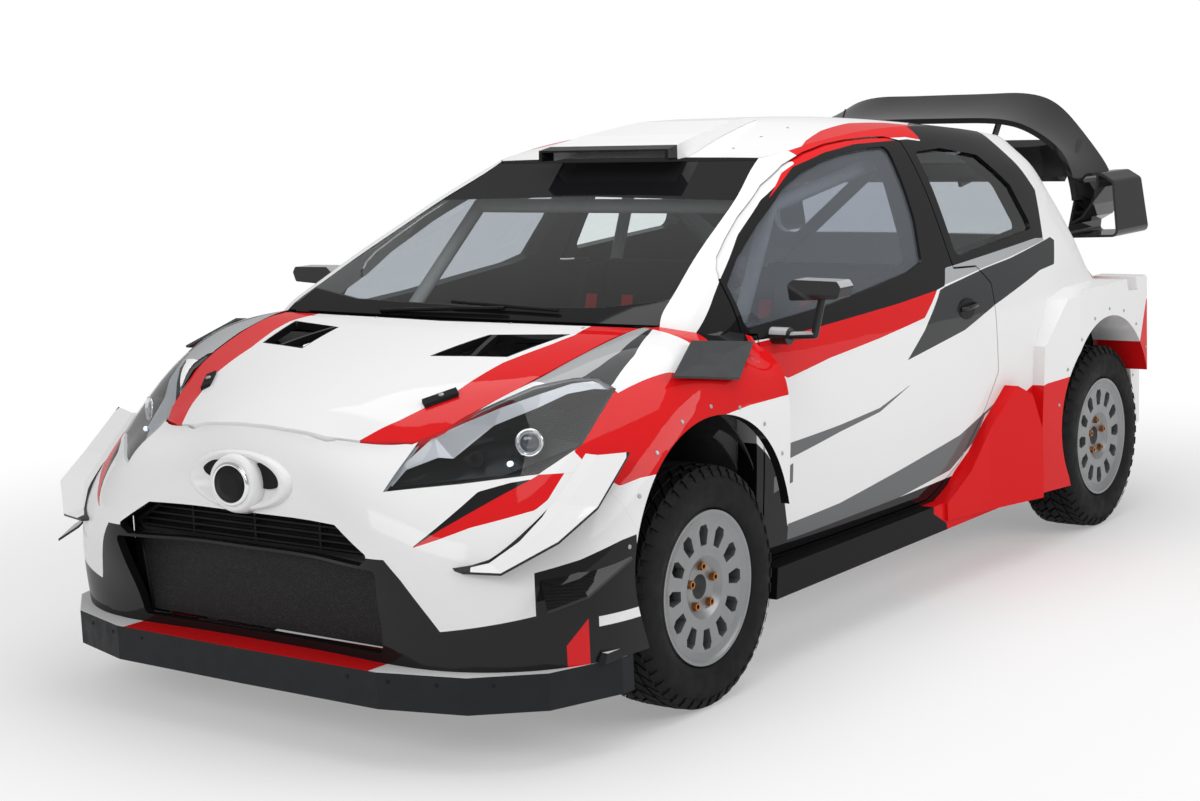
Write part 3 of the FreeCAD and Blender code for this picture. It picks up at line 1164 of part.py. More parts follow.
def scuttle():
    """Panel under the windscreen with the wiper parked on it."""
    plate = box(-640, 640, -1186, BULKHEAD_Y[1], BULKHEAD_TOP + SEAT_GAP, BULKHEAD_TOP + 16)
    riser = box(-640, 640, -1112, -1096, BULKHEAD_TOP + 10, 991)
    wall = sheet(SIDE, SEAT_GAP, -DOOR_THICK - SEAT_GAP)
    panel = plate.fuse(riser).removeSplitter().cut(wall).cut(mirrored(wall)).cut(screen_sheet(965, SEAT_GAP))
    panel = max(panel.Solids, key=lambda piece: piece.Volume)
    y, z = BONNET_HINGE
    ear = box(LID_HINGE_X, LID_HINGE_X + 11, y - 8, y + 8, BULKHEAD_TOP + 10, z + 6)
    pin = Part.makeCylinder(LID_PIN, 30, V(LID_HINGE_X, y, z), X_AXIS)
    return fuse([panel, ear, pin, mirrored(ear), mirrored(pin)])


TAIL_LAMP = [(1380, 1010), (1460, 1010), (1520, 820), (1440, 820)]


def write_all():
    body, door, door_pane, quarter_pane = side_parts()
    flare = rear_flare()
    lamp_form = prism(TAIL_LAMP, "yz", 600, 1000, -SEAT_GAP)
    tail = body.common(lamp_form)
    body = body.fuse(flare).removeSplitter().cut(prism(TAIL_LAMP, "yz", 600, 1000))
    body = max(body.Solids, key=lambda piece: piece.Volume)
    save("body_sides", both(body))
    save("tail_lamps", both(tail))
    save("door_left", door)
    save("door_right", mirrored(door))
    save("door_glass_left", door_pane)
    save("door_glass_right", mirrored(door_pane))
    mirror = mirror_part()
    save("mirror_left", mirror)
    save("mirror_right", mirrored(mirror))
    glass = windscreen()
    save("fixed_glass", Part.makeCompound([glass, quarter_pane, mirrored(quarter_pane)]))
    save("bonnet", bonnet())
    save("roof_panel", roof())
    save("roof_scoop", scoop())
    lid, pane = tailgate_parts()
    save("tailgate", lid)
    save("rear_glass", pane)
    save("rear_wing", wing())
    bumper, fender, lens, bucket = front_parts()
    save("front_bumper", bumper)
    save("front_fenders", both(fender), 1e6)
    save("headlamp_lenses", both(lens))
    save("headlamps", both(bucket))
    save("lower_grille", lower_grille())
    save("upper_grille", upper_grille())
    save("splitter", splitter())
    upper, lower = canards()
    save("canards", Part.makeCompound([upper, mirrored(upper), lower, mirrored(lower)]))
    rear, diffuser = rear_parts()
    save("rear_bumper", rear)
    save("diffuser", diffuser)
    save("side_skirts", both(skirts()))
    save("tub", tub())
    save("wheel_houses", wheel_houses())
    save("roll_cage", roll_cage())
    seat_left = seat()
    save("seats", both(seat_left))
    save("dashboard", dashboard())
    block, radiator = engine()
    save("engine_block", block)
    save("radiator", radiator)
    frame, shaft = front_suspension()
    save("front_suspension", Part.makeCompound([frame, shaft, mirrored(shaft)]))
    save("rear_suspension", rear_suspension())
    save("exhaust", exhaust())
    save("scuttle", scuttle())
    upright = knuckle()
    save("knuckle_left", upright)
    save("knuckle_right", mirrored(upright))
    save("steering_rack", rack())
    save("steering_wheel", steering_wheel())
    for end, y in (("front", FRONT_Y), ("rear", REAR_Y)):
        tyre, rim, disc = wheel(1, y)
        save("tyre_%s_left" % end, tyre)
        save("tyre_%s_right" % end, mirrored(tyre))
        wheel_set = Part.makeCompound([rim, disc])
        save("rim_%s_left" % end, wheel_set)
        save("rim_%s_right" % end, mirrored(wheel_set))
    os.makedirs("parts", exist_ok=True)
    for name, shape in PARTS.items():
        shape.exportStep("parts/%s.step" % name)
        print(name, len(shape.Solids), round(shape.Volume / 1e6, 3), shape.isValid())


write_all()
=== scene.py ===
# %% [markdown]
# # Dressing a three-door rally car
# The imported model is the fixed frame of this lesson: every panel, wheel and glass pane is already in place,
# at its real size, in metres. Here the car gets its paint, its rubber, its lamps and the small parts that
# make it real. Blender's own start objects are cleared first, so that only the car, its floor and its
# lights are in the scene.

# %% Load the car and look at its size
import json
import math
import bmesh
import bpy
from mathutils import Matrix, Vector
from mathutils.bvhtree import BVHTree

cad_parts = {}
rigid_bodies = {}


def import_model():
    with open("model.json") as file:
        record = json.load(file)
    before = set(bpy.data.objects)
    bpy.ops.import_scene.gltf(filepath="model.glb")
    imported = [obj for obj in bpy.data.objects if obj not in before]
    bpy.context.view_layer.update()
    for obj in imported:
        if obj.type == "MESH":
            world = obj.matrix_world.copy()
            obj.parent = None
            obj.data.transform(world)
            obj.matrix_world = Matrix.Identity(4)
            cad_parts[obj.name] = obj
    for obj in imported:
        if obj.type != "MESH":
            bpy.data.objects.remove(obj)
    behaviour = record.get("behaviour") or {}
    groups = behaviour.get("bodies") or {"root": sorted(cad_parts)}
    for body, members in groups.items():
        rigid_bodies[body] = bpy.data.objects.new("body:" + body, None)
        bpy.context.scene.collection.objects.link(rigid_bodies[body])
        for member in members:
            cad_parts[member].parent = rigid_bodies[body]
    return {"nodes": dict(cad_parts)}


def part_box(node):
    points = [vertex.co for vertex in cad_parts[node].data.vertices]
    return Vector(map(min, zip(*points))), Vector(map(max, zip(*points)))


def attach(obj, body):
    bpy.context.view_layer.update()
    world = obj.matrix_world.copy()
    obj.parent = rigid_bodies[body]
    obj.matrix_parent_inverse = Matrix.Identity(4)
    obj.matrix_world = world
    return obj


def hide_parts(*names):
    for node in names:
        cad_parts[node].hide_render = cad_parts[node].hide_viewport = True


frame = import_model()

parts = frame["nodes"]
for thing in list(bpy.data.objects):
    if thing.name in ("Cube", "Light", "Camera"):
        bpy.data.objects.remove(thing)
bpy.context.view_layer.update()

# %% [markdown]
# ## The camera
# The picture is taken from the car's front left, a little above the bonnet, with a long lens that keeps the
# wheels round. A camera's matrix holds its right, up and backward directions in its columns, so it can be
# written directly from the view that was measured. That is steadier than a Track To constraint, which would
# lose the small roll.

# %% Place the camera
def add_object(name, data):
    """Put a new object into the scene."""
    made = bpy.data.objects.new(name, data)
    bpy.context.scene.collection.objects.link(made)
    return made


eye = Vector((3.91547, -5.67358, 1.64442))
right = Vector((0.80247865, 0.59531451, -0.04035645))
up = Vector((-0.05749969, 0.14447464, 0.98783646))
back = right.cross(up)
lens = bpy.data.cameras.new("studio_camera")
lens.lens = 63.44
lens.sensor_width = 36.0
camera = add_object("studio_camera", lens)
camera.matrix_world = Matrix((
    (right.x, up.x, back.x, eye.x),
    (right.y, up.y, back.y, eye.y),
    (right.z, up.z, back.z, eye.z),
    (0, 0, 0, 1)))
bpy.context.scene.camera = camera
print("camera at", [round(v, 2) for v in eye], "lens", round(lens.lens, 2))

# %% [markdown]
# ## Wiring a finish
# Every material here is a small graph of nodes that ends in a Principled shader. The class below only saves
# typing: it makes a node, wires a value or another node's output into it, and hands back the output. Object
# coordinates are the car's own metres, because each panel's object sits at the origin, so a stripe can be
# placed by measurement.

# %% A short hand for material nodes
# The picture's own right and up directions, for boundaries that were measured in the picture
VIEW_AXES = {"across": (0.80248, 0.59531, -0.04036), "rise": (-0.0575, 0.14447, 0.98784)}


class Finish:
    """One material and its node graph."""

    def __init__(self, name, **settings):
        self.material = bpy.data.materials.new(name)
        self.material.use_nodes = True
        self.tree = self.material.node_tree
        self.tree.nodes.clear()
        self.output = self.tree.nodes.new("ShaderNodeOutputMaterial")
        self.shader = self.tree.nodes.new("ShaderNodeBsdfPrincipled")
        self.tree.links.new(self.shader.outputs["BSDF"], self.output.inputs["Surface"])
        self.set(**settings)

    def feed(self, value, socket):
        """Link a socket to another node's output, or type a value into it."""
        if hasattr(value, "is_linked"):
            self.tree.links.new(value, socket)
        else:
            socket.default_value = value

    def set(self, **settings):
        """Change the shader's own sockets."""
        for key, value in settings.items():
            self.feed(value, self.shader.inputs[key.replace("_", " ")])

    def node(self, kind, inputs=None, **settings):
        """A new node with its settings and inputs filled in."""
        made = self.tree.nodes.new(kind)
        for key, value in settings.items():
            setattr(made, key, value)
        for key, value in (inputs or {}).items():
            self.feed(value, made.inputs[key])
        return made

    def math(self, what, a, b=0.0):
        return self.node("ShaderNodeMath", {0: a, 1: b}, operation=what).outputs[0]

    def vector(self, what, a, b):
        return self.node("ShaderNodeVectorMath", {0: a, 1: b}, operation=what).outputs["Value"]

    def place(self):
        """The car's x, y and z, the distance from its middle, and three slanted axes."""
        if not hasattr(self, "axes"):
            self.spot = self.node("ShaderNodeTexCoord").outputs["Object"]
            x, y, z = self.node("ShaderNodeSeparateXYZ", {0: self.spot}).outputs
            side = self.math("ABSOLUTE", x)
            corner = self.math("ADD", self.math("MULTIPLY", side, 0.8), self.math("MULTIPLY", y, 0.6))
            self.axes = {"x": x, "y": y, "z": z, "side": side, "corner": corner}
            folded = self.node("ShaderNodeCombineXYZ", {0: side, 1: y, 2: z}).outputs[0]
            for name, weights in VIEW_AXES.items():
                self.axes[name] = self.vector("DOT_PRODUCT", folded, weights)
        return self.axes

    def noise(self, scale, detail=2.0):
        self.place()
        return self.node("ShaderNodeTexNoise", {"Vector": self.spot, "Scale": scale,
                                                "Detail": detail}).outputs[0]

    def spread(self, value, low, high):
        """Noise, which lies mostly between 0.3 and 0.7, turned into a range of numbers."""
        return self.node("ShaderNodeMapRange", {0: value, 1: 0.3, 2: 0.7, 3: low, 4: high}).outputs[0]

    def mix(self, share, a, b):
        """Colour a where share is 0, colour b where it is 1."""
        made = self.node("ShaderNodeMix", {0: share}, data_type="RGBA")
        for value, socket in ((a, made.inputs[6]), (b, made.inputs[7])):
            self.feed((*value, 1.0) if isinstance(value, tuple) else value, socket)
        return made.outputs[2]

    def blend(self, share, a, b):
        """Shader node a where share is 0, shader node b where it is 1."""
        return self.node("ShaderNodeMixShader", {0: share, 1: a.outputs[0], 2: b.outputs[0]})

    def overlay(self, share, colour):
        """Lay one more colour over the finish where share is 1."""
        base = self.shader.inputs["Base Color"].links[0].from_socket
        self.set(Base_Color=self.mix(share, base, colour))

    def bump(self, height, strength, distance=0.001):
        made = self.node("ShaderNodeBump", {"Height": height, "Strength": strength, "Distance": distance})
        self.tree.links.new(made.outputs[0], self.shader.inputs["Normal"])
    def line(self, along, points):
        """A boundary drawn through measured points: its value at each place along."""
        made = self.node("ShaderNodeFloatCurve", {"Value": along})
        drawn = made.mapping
        drawn.use_clip = False
        drawn.extend = "HORIZONTAL"
        dots = drawn.curves[0].points
        dots[0].location = points[0]
        dots[1].location = points[-1]
        for point in points[1:-1]:
            dots.new(*point)
        for dot in dots:
            dot.handle_type = "VECTOR"
        drawn.update()
        return made.outputs[0]

    def patch(self, along, across, low, high, above=None):
        """1 inside the area between two boundaries, 0 outside it."""
        axes = self.place()
        u, v = axes[along], axes[across]
        limits = [("LESS_THAN", v, self.line(u, high)),
                  ("GREATER_THAN", u, max(low[0][0], high[0][0])),
                  ("LESS_THAN", u, min(low[-1][0], high[-1][0]))]
        if above is not None:
            limits.append(("GREATER_THAN", axes["z"], above))
        inside = self.math("GREATER_THAN", v, self.line(u, low))
        for limit in limits:
            inside = self.math("MULTIPLY", inside, self.math(*limit))
        return inside

    def inward(self, least=0.35):
        """1 on the faces that look towards the car's middle plane."""
        normal = self.node("ShaderNodeNewGeometry").outputs["Normal"]
        across = self.node("ShaderNodeSeparateXYZ", {0: normal}).outputs[0]
        side = self.math("SIGN", self.place()["x"])
        return self.math("LESS_THAN", self.math("MULTIPLY", across, side), -least)

    def round(self, y, z, radius):
        """1 within a radius of an axle line."""
        axes = self.place()
        flat = self.node("ShaderNodeCombineXYZ", {0: 0.0, 1: axes["y"], 2: axes["z"]}).outputs[0]
        return self.math("LESS_THAN", self.vector("DISTANCE", flat, (0, y, z)), radius)

    def facing(self, direction, least=0.5):
        """1 where the surface faces a direction, 0 elsewhere."""
        normal = self.node("ShaderNodeNewGeometry").outputs["Normal"]
        return self.math("GREATER_THAN", self.vector("DOT_PRODUCT", normal, direction), least)


dressed = []


def wear(finish, *nodes):
    """Give some of the CAD nodes their finish."""
    for node in nodes:
        slots = parts[node].data.materials
        slots.clear()
        slots.append(finish.material)
        dressed.append(node)


print("finish kit ready")

# %% [markdown]
# ## The paint
# The car is white with bands of red, charcoal and black film laid over it under one clear coat. Each band
# is an area between two measured boundary lines, seen from the side, from above, or square to the front
# corner, so it runs on over a shut line from one panel to the next as the real film does. Two black bands
# are painted shade instead of film: one under the lower dive plane and one in the bonnet's vents, and faces
# that look into the body are painted dark as shade. Orange peel in the clear coat is a fine bump.

# %% Colours and the bands of film
WHITE = (0.80, 0.80, 0.80)
RED = (0.66, 0.008, 0.010)
CHARCOAL = (0.040, 0.041, 0.043)
SLATE = (0.13, 0.135, 0.14)
SILVER = (0.36, 0.37, 0.38)
BLACK = (0.010, 0.010, 0.011)
SCUFFED = (0.018, 0.019, 0.021)
ARCH_Y, ARCH_Z = -1.2275, 0.42      # centre of the front wheel's arch
SIDE_ARCH = (ARCH_Y, ARCH_Z, 0.400)
FRONT_ARCH = (ARCH_Y, ARCH_Z, 0.3605)

BELT = [
    (-1.068, 0.949), (-0.90, 0.922), (-0.669, 0.918), (-0.436, 0.927), (-0.057, 0.941), (0.188, 0.955),
    (0.245, 0.962), (0.290, 1.013), (0.707, 1.033), (1.010, 1.047), (1.075, 1.042), (1.184, 1.20)
]
FRAME_TOP = [
    (-1.068, 0.951), (-0.852, 1.084), (-0.66, 1.195), (-0.475, 1.280), (-0.235, 1.362), (-0.05, 1.395),
    (0.132, 1.412), (0.45, 1.412), (0.53, 1.402), (0.56, 1.52), (1.05, 1.52), (1.076, 1.38), (1.13, 1.30),
    (1.184, 1.20)
]
SIDE_BANDS = [
    ("y", "z", [(-0.874, 0.885), (-0.777, 0.839), (-0.695, 0.800), (-0.485, 0.830), (-0.204, 0.853),
      (0.078, 0.881), (0.188, 0.955)],
     [(-0.874, 0.914), (-0.669, 0.918), (-0.436, 0.927), (-0.057, 0.941), (0.188, 0.957)], RED),
    ("y", "z", [(-0.046, 0.767), (0.331, 0.814), (0.556, 0.869), (0.950, 0.944), (1.082, 0.952),
      (1.164, 1.027)],
     [(-0.046, 0.768), (0.070, 0.845), (0.206, 0.953), (0.244, 0.959), (0.550, 0.989), (0.754, 1.002),
      (1.14, 1.04), (1.164, 1.028)], CHARCOAL),
    ("y", "z", [(0.248, 0.965), (0.550, 0.992), (0.754, 1.006), (1.075, 1.035)],
     [(0.248, 1.010), (0.707, 1.036), (1.010, 1.05), (1.075, 1.045)], SILVER),
    ("y", "z", [(-0.700, 0.573), (-0.447, 0.610), (-0.223, 0.635), (-0.041, 0.689)],
     [(-0.700, 0.617), (-0.447, 0.630), (-0.223, 0.647), (-0.041, 0.690)], SLATE),
    ("y", "z", [(-1.00, 0.0), (-0.70, 0.0)],
     [(-1.00, 0.72), (-0.86, 0.65), (-0.80, 0.60), (-0.735, 0.52), (-0.70, 0.37)], BLACK),
    ("y", "z", [(-0.77, 0.486), (-0.682, 0.503)], [(-0.77, 0.530), (-0.682, 0.558)], SLATE),
    ("y", "z", [(-0.70, 0.335), (-0.427, 0.344), (-0.078, 0.349), (0.24, 0.378), (0.40, 0.449),
      (0.462, 0.522), (0.568, 0.555)],
     [(-0.70, 0.385), (-0.434, 0.397), (-0.092, 0.436), (0.291, 0.483), (0.568, 0.562)], SLATE),
    ("y", "z", [(-0.90, 0.0), (0.46, 0.0)],
     [(-0.90, 0.335), (-0.427, 0.344), (-0.078, 0.349), (0.46, 0.36)], BLACK),
    ("y", "z", [(0.175, 0.0), (1.30, 0.0)],
     [(0.175, 0.276), (0.275, 0.372), (0.434, 0.460), (0.576, 0.488), (0.736, 0.548), (0.837, 0.574),
      (1.30, 0.600)], RED),
    ("y", "z", [(-0.170, 1.385), (-0.043, 1.409), (0.134, 1.425), (0.45, 1.419), (0.60, 1.395)],
     [(-0.170, 1.60), (0.60, 1.60)], RED),
    ("y", "z", BELT, FRAME_TOP, BLACK),
    ("y", "z", [(1.53, 0.50), (1.70, 0.50)], [(1.53, 0.60), (1.60, 0.78), (1.70, 0.80)], RED),
]
DOOR_BANDS = [
    ("y", "z", [(-0.44, 1.284), (-0.235, 1.362), (-0.05, 1.395), (0.132, 1.412), (0.45, 1.412)],
     [(-0.44, 1.285), (-0.30, 1.348), (-0.21, 1.372), (-0.20, 1.60), (0.45, 1.60)], RED),
]
TOP_BANDS = [
    ("y", "side", [(-1.99, 0.20), (-1.954, 0.277), (-1.914, 0.309), (-1.798, 0.376), (-1.652, 0.440),
      (-1.487, 0.462), (-1.344, 0.510), (-1.262, 0.526), (-1.132, 0.500)],
     [(-1.99, 0.235), (-1.945, 0.336), (-1.858, 0.426), (-1.814, 0.470), (-1.80, 0.90),
      (-1.132, 0.90)], RED, 0.69),
]
ROOF_BANDS = [
    ("y", "side", [(-0.170, 0.560), (-0.128, 0.546), (-0.015, 0.500), (0.150, 0.455), (0.359, 0.435),
      (0.538, 0.470), (0.64, 0.553)],
     [(-0.170, 1.0), (0.64, 1.0)], RED),
    ("y", "side", [(0.60, 0.52), (0.70, 0.47), (1.00, 0.38), (1.25, 0.36), (1.40, 0.40)],
     [(0.60, 1.0), (1.40, 1.0)], CHARCOAL),
]
FENDER_BANDS = [
    ("y", "side", [(-1.462, 0.0), (-1.15, 0.0)],
     [(-1.462, 0.808), (-1.306, 0.860), (-1.262, 0.891), (-1.15, 0.900)], WHITE, 0.80),
    ("y", "z", [(-1.068, 0.949), (-0.885, 0.921), (-0.852, 1.080)],
     [(-1.068, 0.951), (-0.852, 1.084)], BLACK),
    ("y", "side", [(-1.560, 0.0), (-1.15, 0.0)],
     [(-1.560, 0.745), (-1.457, 0.787), (-1.334, 0.772), (-1.20, 0.722), (-1.15, 0.700)], CHARCOAL, 0.80),
    ("y", "side", [(-1.560, 0.0), (-1.15, 0.0)],
     [(-1.560, 0.690), (-1.481, 0.721), (-1.428, 0.730), (-1.347, 0.735), (-1.218, 0.707),
      (-1.15, 0.690)], SILVER, 0.80),
]
CORNER_BANDS = [
    ("corner", "z", [(-0.343, 0.744), (-0.300, 0.700), (-0.236, 0.660), (-0.186, 0.672), (-0.122, 0.674),
      (-0.027, 0.730), (0.044, 0.775), (0.116, 0.783), (0.24, 0.782)],
     [(-0.343, 1.2), (0.24, 1.2)], RED),
    ("corner", "z", [(-0.738, 0.553), (-0.672, 0.572), (-0.600, 0.594), (-0.528, 0.608), (-0.443, 0.625),
      (-0.412, 0.645), (-0.381, 0.686), (-0.336, 0.744)],
     [(-0.738, 0.555), (-0.672, 0.592), (-0.600, 0.626), (-0.527, 0.659), (-0.454, 0.690), (-0.405, 0.713),
      (-0.360, 0.750), (-0.336, 0.80)], RED),
    ("corner", "z", [(-0.738, 0.555), (-0.672, 0.592), (-0.600, 0.626), (-0.527, 0.659), (-0.454, 0.690)],
     [(-0.738, 0.556), (-0.636, 0.629), (-0.580, 0.670), (-0.502, 0.686), (-0.454, 0.691)], BLACK),
    ("z", "corner", [(0.20, -3.0), (0.522, -3.0)],
     [(0.20, -0.62), (0.344, -0.684), (0.475, -0.774), (0.522, -0.813)], BLACK),
    ("corner", "z", [(-1.3, 0.0), (-0.30, 0.0)],
     [(-1.3, 0.344), (-0.684, 0.344), (-0.43, 0.385), (-0.30, 0.404)], BLACK),
    # This black band under the lower dive plane is painted shadow of the plane, not film.
    ("corner", "z", [(-0.45, 0.36), (-0.20, 0.36)],
     [(-0.45, 0.485), (-0.34, 0.504), (-0.237, 0.534), (-0.20, 0.54)], BLACK),
    ("corner", "z", [(-0.38, 0.24), (-0.325, 0.24)], [(-0.38, 0.30), (-0.325, 0.36)], RED),
    ("corner", "z", [(-0.325, 0.0), (-0.10, 0.0)], [(-0.325, 0.335), (-0.10, 0.335)], BLACK),
]
ALL_BANDS = (SIDE_BANDS, DOOR_BANDS, TOP_BANDS, ROOF_BANDS, FENDER_BANDS, CORNER_BANDS)
print("bands of film:", sum(len(bands) for bands in ALL_BANDS))

# %% Mix the paint
def paint(name, bands=(), base=WHITE, inner_shade=None, arch=None, front=None):
    """Two-layer paint: film colours under a clear coat, with orange peel and a trace of polish marks."""
    made = Finish(name, Coat_Weight=0.5, Coat_Roughness=0.03, Metallic=0.0, Specular_IOR_Level=0.0)
    tone = made.spread(made.noise(3.0, 3.0), 0.97, 1.0)
    colour = made.mix(tone, tuple(c * 0.93 for c in base), base)
    for along, across, low, high, film, *above in bands:
        inside = made.patch(along, across, low, high, *above)
        colour = made.mix(inside, colour, film)
    # Faces that look inward, into the body, are painted dark: painted shade for the inside of the panels.
    if inner_shade:
        colour = made.mix(made.inward(), colour, inner_shade)
    if arch:
        colour = made.mix(made.round(*arch), colour, BLACK)
    if front:
        colour = made.mix(made.facing((0, -1, 0), 0.7), colour, front)
    made.set(Base_Color=colour, Roughness=made.spread(made.noise(9.0, 4.0), 0.20, 0.30))
    made.bump(made.noise(420.0, 2.0), 0.04, 0.0004)
    return made


skirt_paint = paint("skirt_paint", [
    ("y", "z", [(0.075, 0.270), (0.16, 0.225), (0.20, 0.0), (1.30, 0.0)],
     [(0.075, 0.275), (0.10, 1.0), (1.30, 1.0)], RED)], base=BLACK)
skirt_paint.set(Coat_Weight=0.2)
scoop_paint = paint("scoop_paint", [
    ("y", "side", [(-0.60, -1.0), (-0.345, -1.0)], [(-0.60, 2.0), (-0.345, 2.0)], BLACK)])
# The black strip in each bonnet vent is painted shade in the vent's hollow, not film.
bonnet_paint = paint("bonnet_paint", TOP_BANDS + [
    ("y", "side", [(-1.513, 0.234), (-1.316, 0.278), (-1.258, 0.505)],
     [(-1.513, 0.240), (-1.455, 0.450), (-1.258, 0.510)], BLACK)])
side_paint = paint("side_paint", SIDE_BANDS, inner_shade=CHARCOAL, arch=SIDE_ARCH)
door_paint = paint("door_paint", SIDE_BANDS + DOOR_BANDS, inner_shade=CHARCOAL, arch=SIDE_ARCH)
front_paint = paint("front_paint", CORNER_BANDS, inner_shade=BLACK, arch=FRONT_ARCH)
fender_paint = paint("fender_paint", CORNER_BANDS[:1] + FENDER_BANDS, inner_shade=BLACK, arch=FRONT_ARCH)
plain_paint = paint("plain_paint")
rear_red = paint("rear_red", base=RED)
wear(side_paint, "body_sides")
wear(door_paint, "door_left", "door_right")
wear(front_paint, "front_bumper")
wear(fender_paint, "front_fenders")
wear(bonnet_paint, "bonnet")
wear(paint("roof_paint", ROOF_BANDS, front=BLACK), "roof_panel")
wear(scoop_paint, "roof_scoop")
wear(skirt_paint, "side_skirts")
wear(plain_paint, "rear_bumper", "tailgate", "tub")
print("painted nodes:", len(dressed))

# %% [markdown]
# ## Black parts, metals, rubber and cloth
# A race car's black parts are not one black. The wing is lacquered carbon, whose weave shows as a faint
# checker of two sheens, the splitter is scuffed plastic, and the grille is matt. Metals differ by roughness
# and by the fine lines of how they were made. All patterns are in metres, so that a weave is 4 mm wide and
# not stretched.

# %% Black finishes
def carbon(name, shine=0.12):
    """Lacquered twill: two directions of tow, 4 mm wide."""
    made = Finish(name, Coat_Weight=0.7, Coat_Roughness=0.04, Specular_IOR_Level=0.0)
    made.place()
    weave = made.node("ShaderNodeTexChecker", {"Vector": made.spot, "Scale": 250.0})
    colour = made.mix(weave.outputs[1], BLACK, (0.019, 0.019, 0.020))
    made.set(Base_Color=colour, Roughness=made.spread(made.noise(30.0), shine, shine + 0.10))
    made.bump(weave.outputs[1], 0.03, 0.0002)
    return made


def plastic(name, tone, low, high, grain=900.0, depth=0.15):
    """Moulded plastic with a fine grain."""
    made = Finish(name, Specular_IOR_Level=0.12)
    speck = made.noise(14.0, 5.0)
    colour = made.mix(speck, tuple(c * 0.85 for c in tone), tuple(c * 1.2 for c in tone))
    made.set(Base_Color=colour, Roughness=made.spread(made.noise(25.0, 4.0), low, high))
    made.bump(made.noise(grain, 2.0), depth, 0.0005)
    return made


def metal(name, tone, low, high, grain=600.0, depth=0.05, metallic=1.0):
    """Metal with a slightly uneven sheen."""
    made = Finish(name, Metallic=metallic)
    speck = made.noise(22.0, 5.0)
    colour = made.mix(speck, tuple(c * 0.88 for c in tone), tone)
    made.set(Base_Color=colour, Roughness=made.spread(made.noise(40.0, 4.0), low, high))
    made.bump(made.noise(grain, 3.0), depth, 0.0005)
    return made


gloss_black = carbon("gloss_black")
satin_black = plastic("satin_black", BLACK, 0.35, 0.50)
matt_black = plastic("matt_black", (0.012, 0.012, 0.013), 0.62, 0.80, depth=0.3)
splitter_plastic = plastic("splitter_plastic", SCUFFED, 0.42, 0.58, depth=0.2)
wheel_silver = metal("wheel_silver", (0.27, 0.275, 0.28), 0.30, 0.42, metallic=0.6)
bare_steel = metal("bare_steel", (0.42, 0.42, 0.43), 0.35, 0.55)
dark_iron = metal("dark_iron", (0.10, 0.10, 0.105), 0.50, 0.70, metallic=0.8, depth=0.3)
cage_paint = plastic("cage_paint", (0.33, 0.34, 0.35), 0.30, 0.42, grain=300.0, depth=0.05)
chrome = metal("chrome", (0.82, 0.83, 0.84), 0.05, 0.10, depth=0.0)
bronze = metal("bronze", (0.45, 0.20, 0.07), 0.28, 0.40)
cloth = plastic("seat_cloth", (0.014, 0.014, 0.015), 0.80, 0.95, grain=1200.0, depth=0.6)
tail_red = Finish("tail_red", Base_Color=(0.45, 0.006, 0.006, 1), Roughness=0.12, Coat_Weight=1.0)
mirror_painted_highlight = carbon("mirror_painted_highlight")
# The upward-facing top of each mirror head is painted light silver-grey: a painted highlight for the
# reflection on it.
mirror_painted_highlight.overlay(mirror_painted_highlight.facing((0, 0, 1), 0.25), (0.42, 0.43, 0.44))
wear(gloss_black, "rear_wing")
wear(matt_black, "upper_grille")
wear(mirror_painted_highlight, "mirror_left", "mirror_right")
wear(satin_black, "dashboard", "scuttle", "wheel_houses", "radiator", "steering_wheel")
wear(cloth, "seats")
wear(splitter_plastic, "diffuser")
wear(cage_paint, "roll_cage")
wear(tail_red, "tail_lamps")
wear(dark_iron, "engine_block")
wear(bare_steel, "front_suspension", "rear_suspension", "knuckle_left", "knuckle_right",
     "steering_rack", "exhaust")
print("dressed nodes so far:", len(dressed))

# %% [markdown]
# ## Two-colour parts
# Some parts carry two finishes on one casting: the splitter's top is painted and its face is bare, a dive
# plane is white on top with lacquered black edges, and a lamp's bowl is black under a silver brow. A mask
# from the surface's own direction, or from a drawn line, chooses between two colours inside one material.

# %% Splitter, dive planes and lamp bowls
splitter_finish = plastic("splitter_finish", SCUFFED, 0.42, 0.58, depth=0.2)
axes = splitter_finish.place()
top = splitter_finish.math("MULTIPLY", splitter_finish.facing((0, 0, 1), 0.6),
                           splitter_finish.math("GREATER_THAN", axes["z"], 0.20))
film = splitter_finish.mix(splitter_finish.math("LESS_THAN", axes["side"], 0.445), WHITE, RED)
splitter_finish.overlay(top, film)
wear(splitter_finish, "splitter")

canard_finish = carbon("canard_finish")
board = canard_finish.patch(
    "across", "rise",
    [(-0.610, 0.172), (-0.539, 0.170), (-0.397, 0.246), (-0.302, 0.328), (-0.238, 0.430)],
    [(-0.610, 0.182), (-0.566, 0.192), (-0.495, 0.242), (-0.440, 0.300), (-0.380, 0.395),
     (-0.345, 0.450), (-0.238, 0.520)])
top = canard_finish.facing((0, -0.3, 0.95), 0.35)
canard_finish.overlay(canard_finish.math("MULTIPLY", top, board), WHITE)
wear(canard_finish, "canards")

lamp_bowl = plastic("lamp_bowl", (0.010, 0.011, 0.012), 0.15, 0.25, grain=200.0, depth=0.02)
brow = lamp_bowl.patch(
    "across", "rise",
    [(-0.828, 0.350), (-0.778, 0.415), (-0.701, 0.441), (-0.664, 0.439), (-0.566, 0.519),
     (-0.458, 0.563), (-0.384, 0.601), (-0.319, 0.613), (-0.23, 0.608)],
    [(-0.828, 0.80), (-0.23, 0.80)])
lamp_bowl.overlay(brow, (0.40, 0.41, 0.42))
wear(lamp_bowl, "headlamps")
print("two-colour parts ready")

# %% [markdown]
# ## Glass
# The side windows are thin tinted polycarbonate and the windscreen is clear with a black strip along its
# top and a printed black border. A pane is thin, so real refraction would only bend the view without
# showing anything; a mix of a see-through shader and a mirror-like one, weighted by Fresnel, looks the same
# and renders without noise.

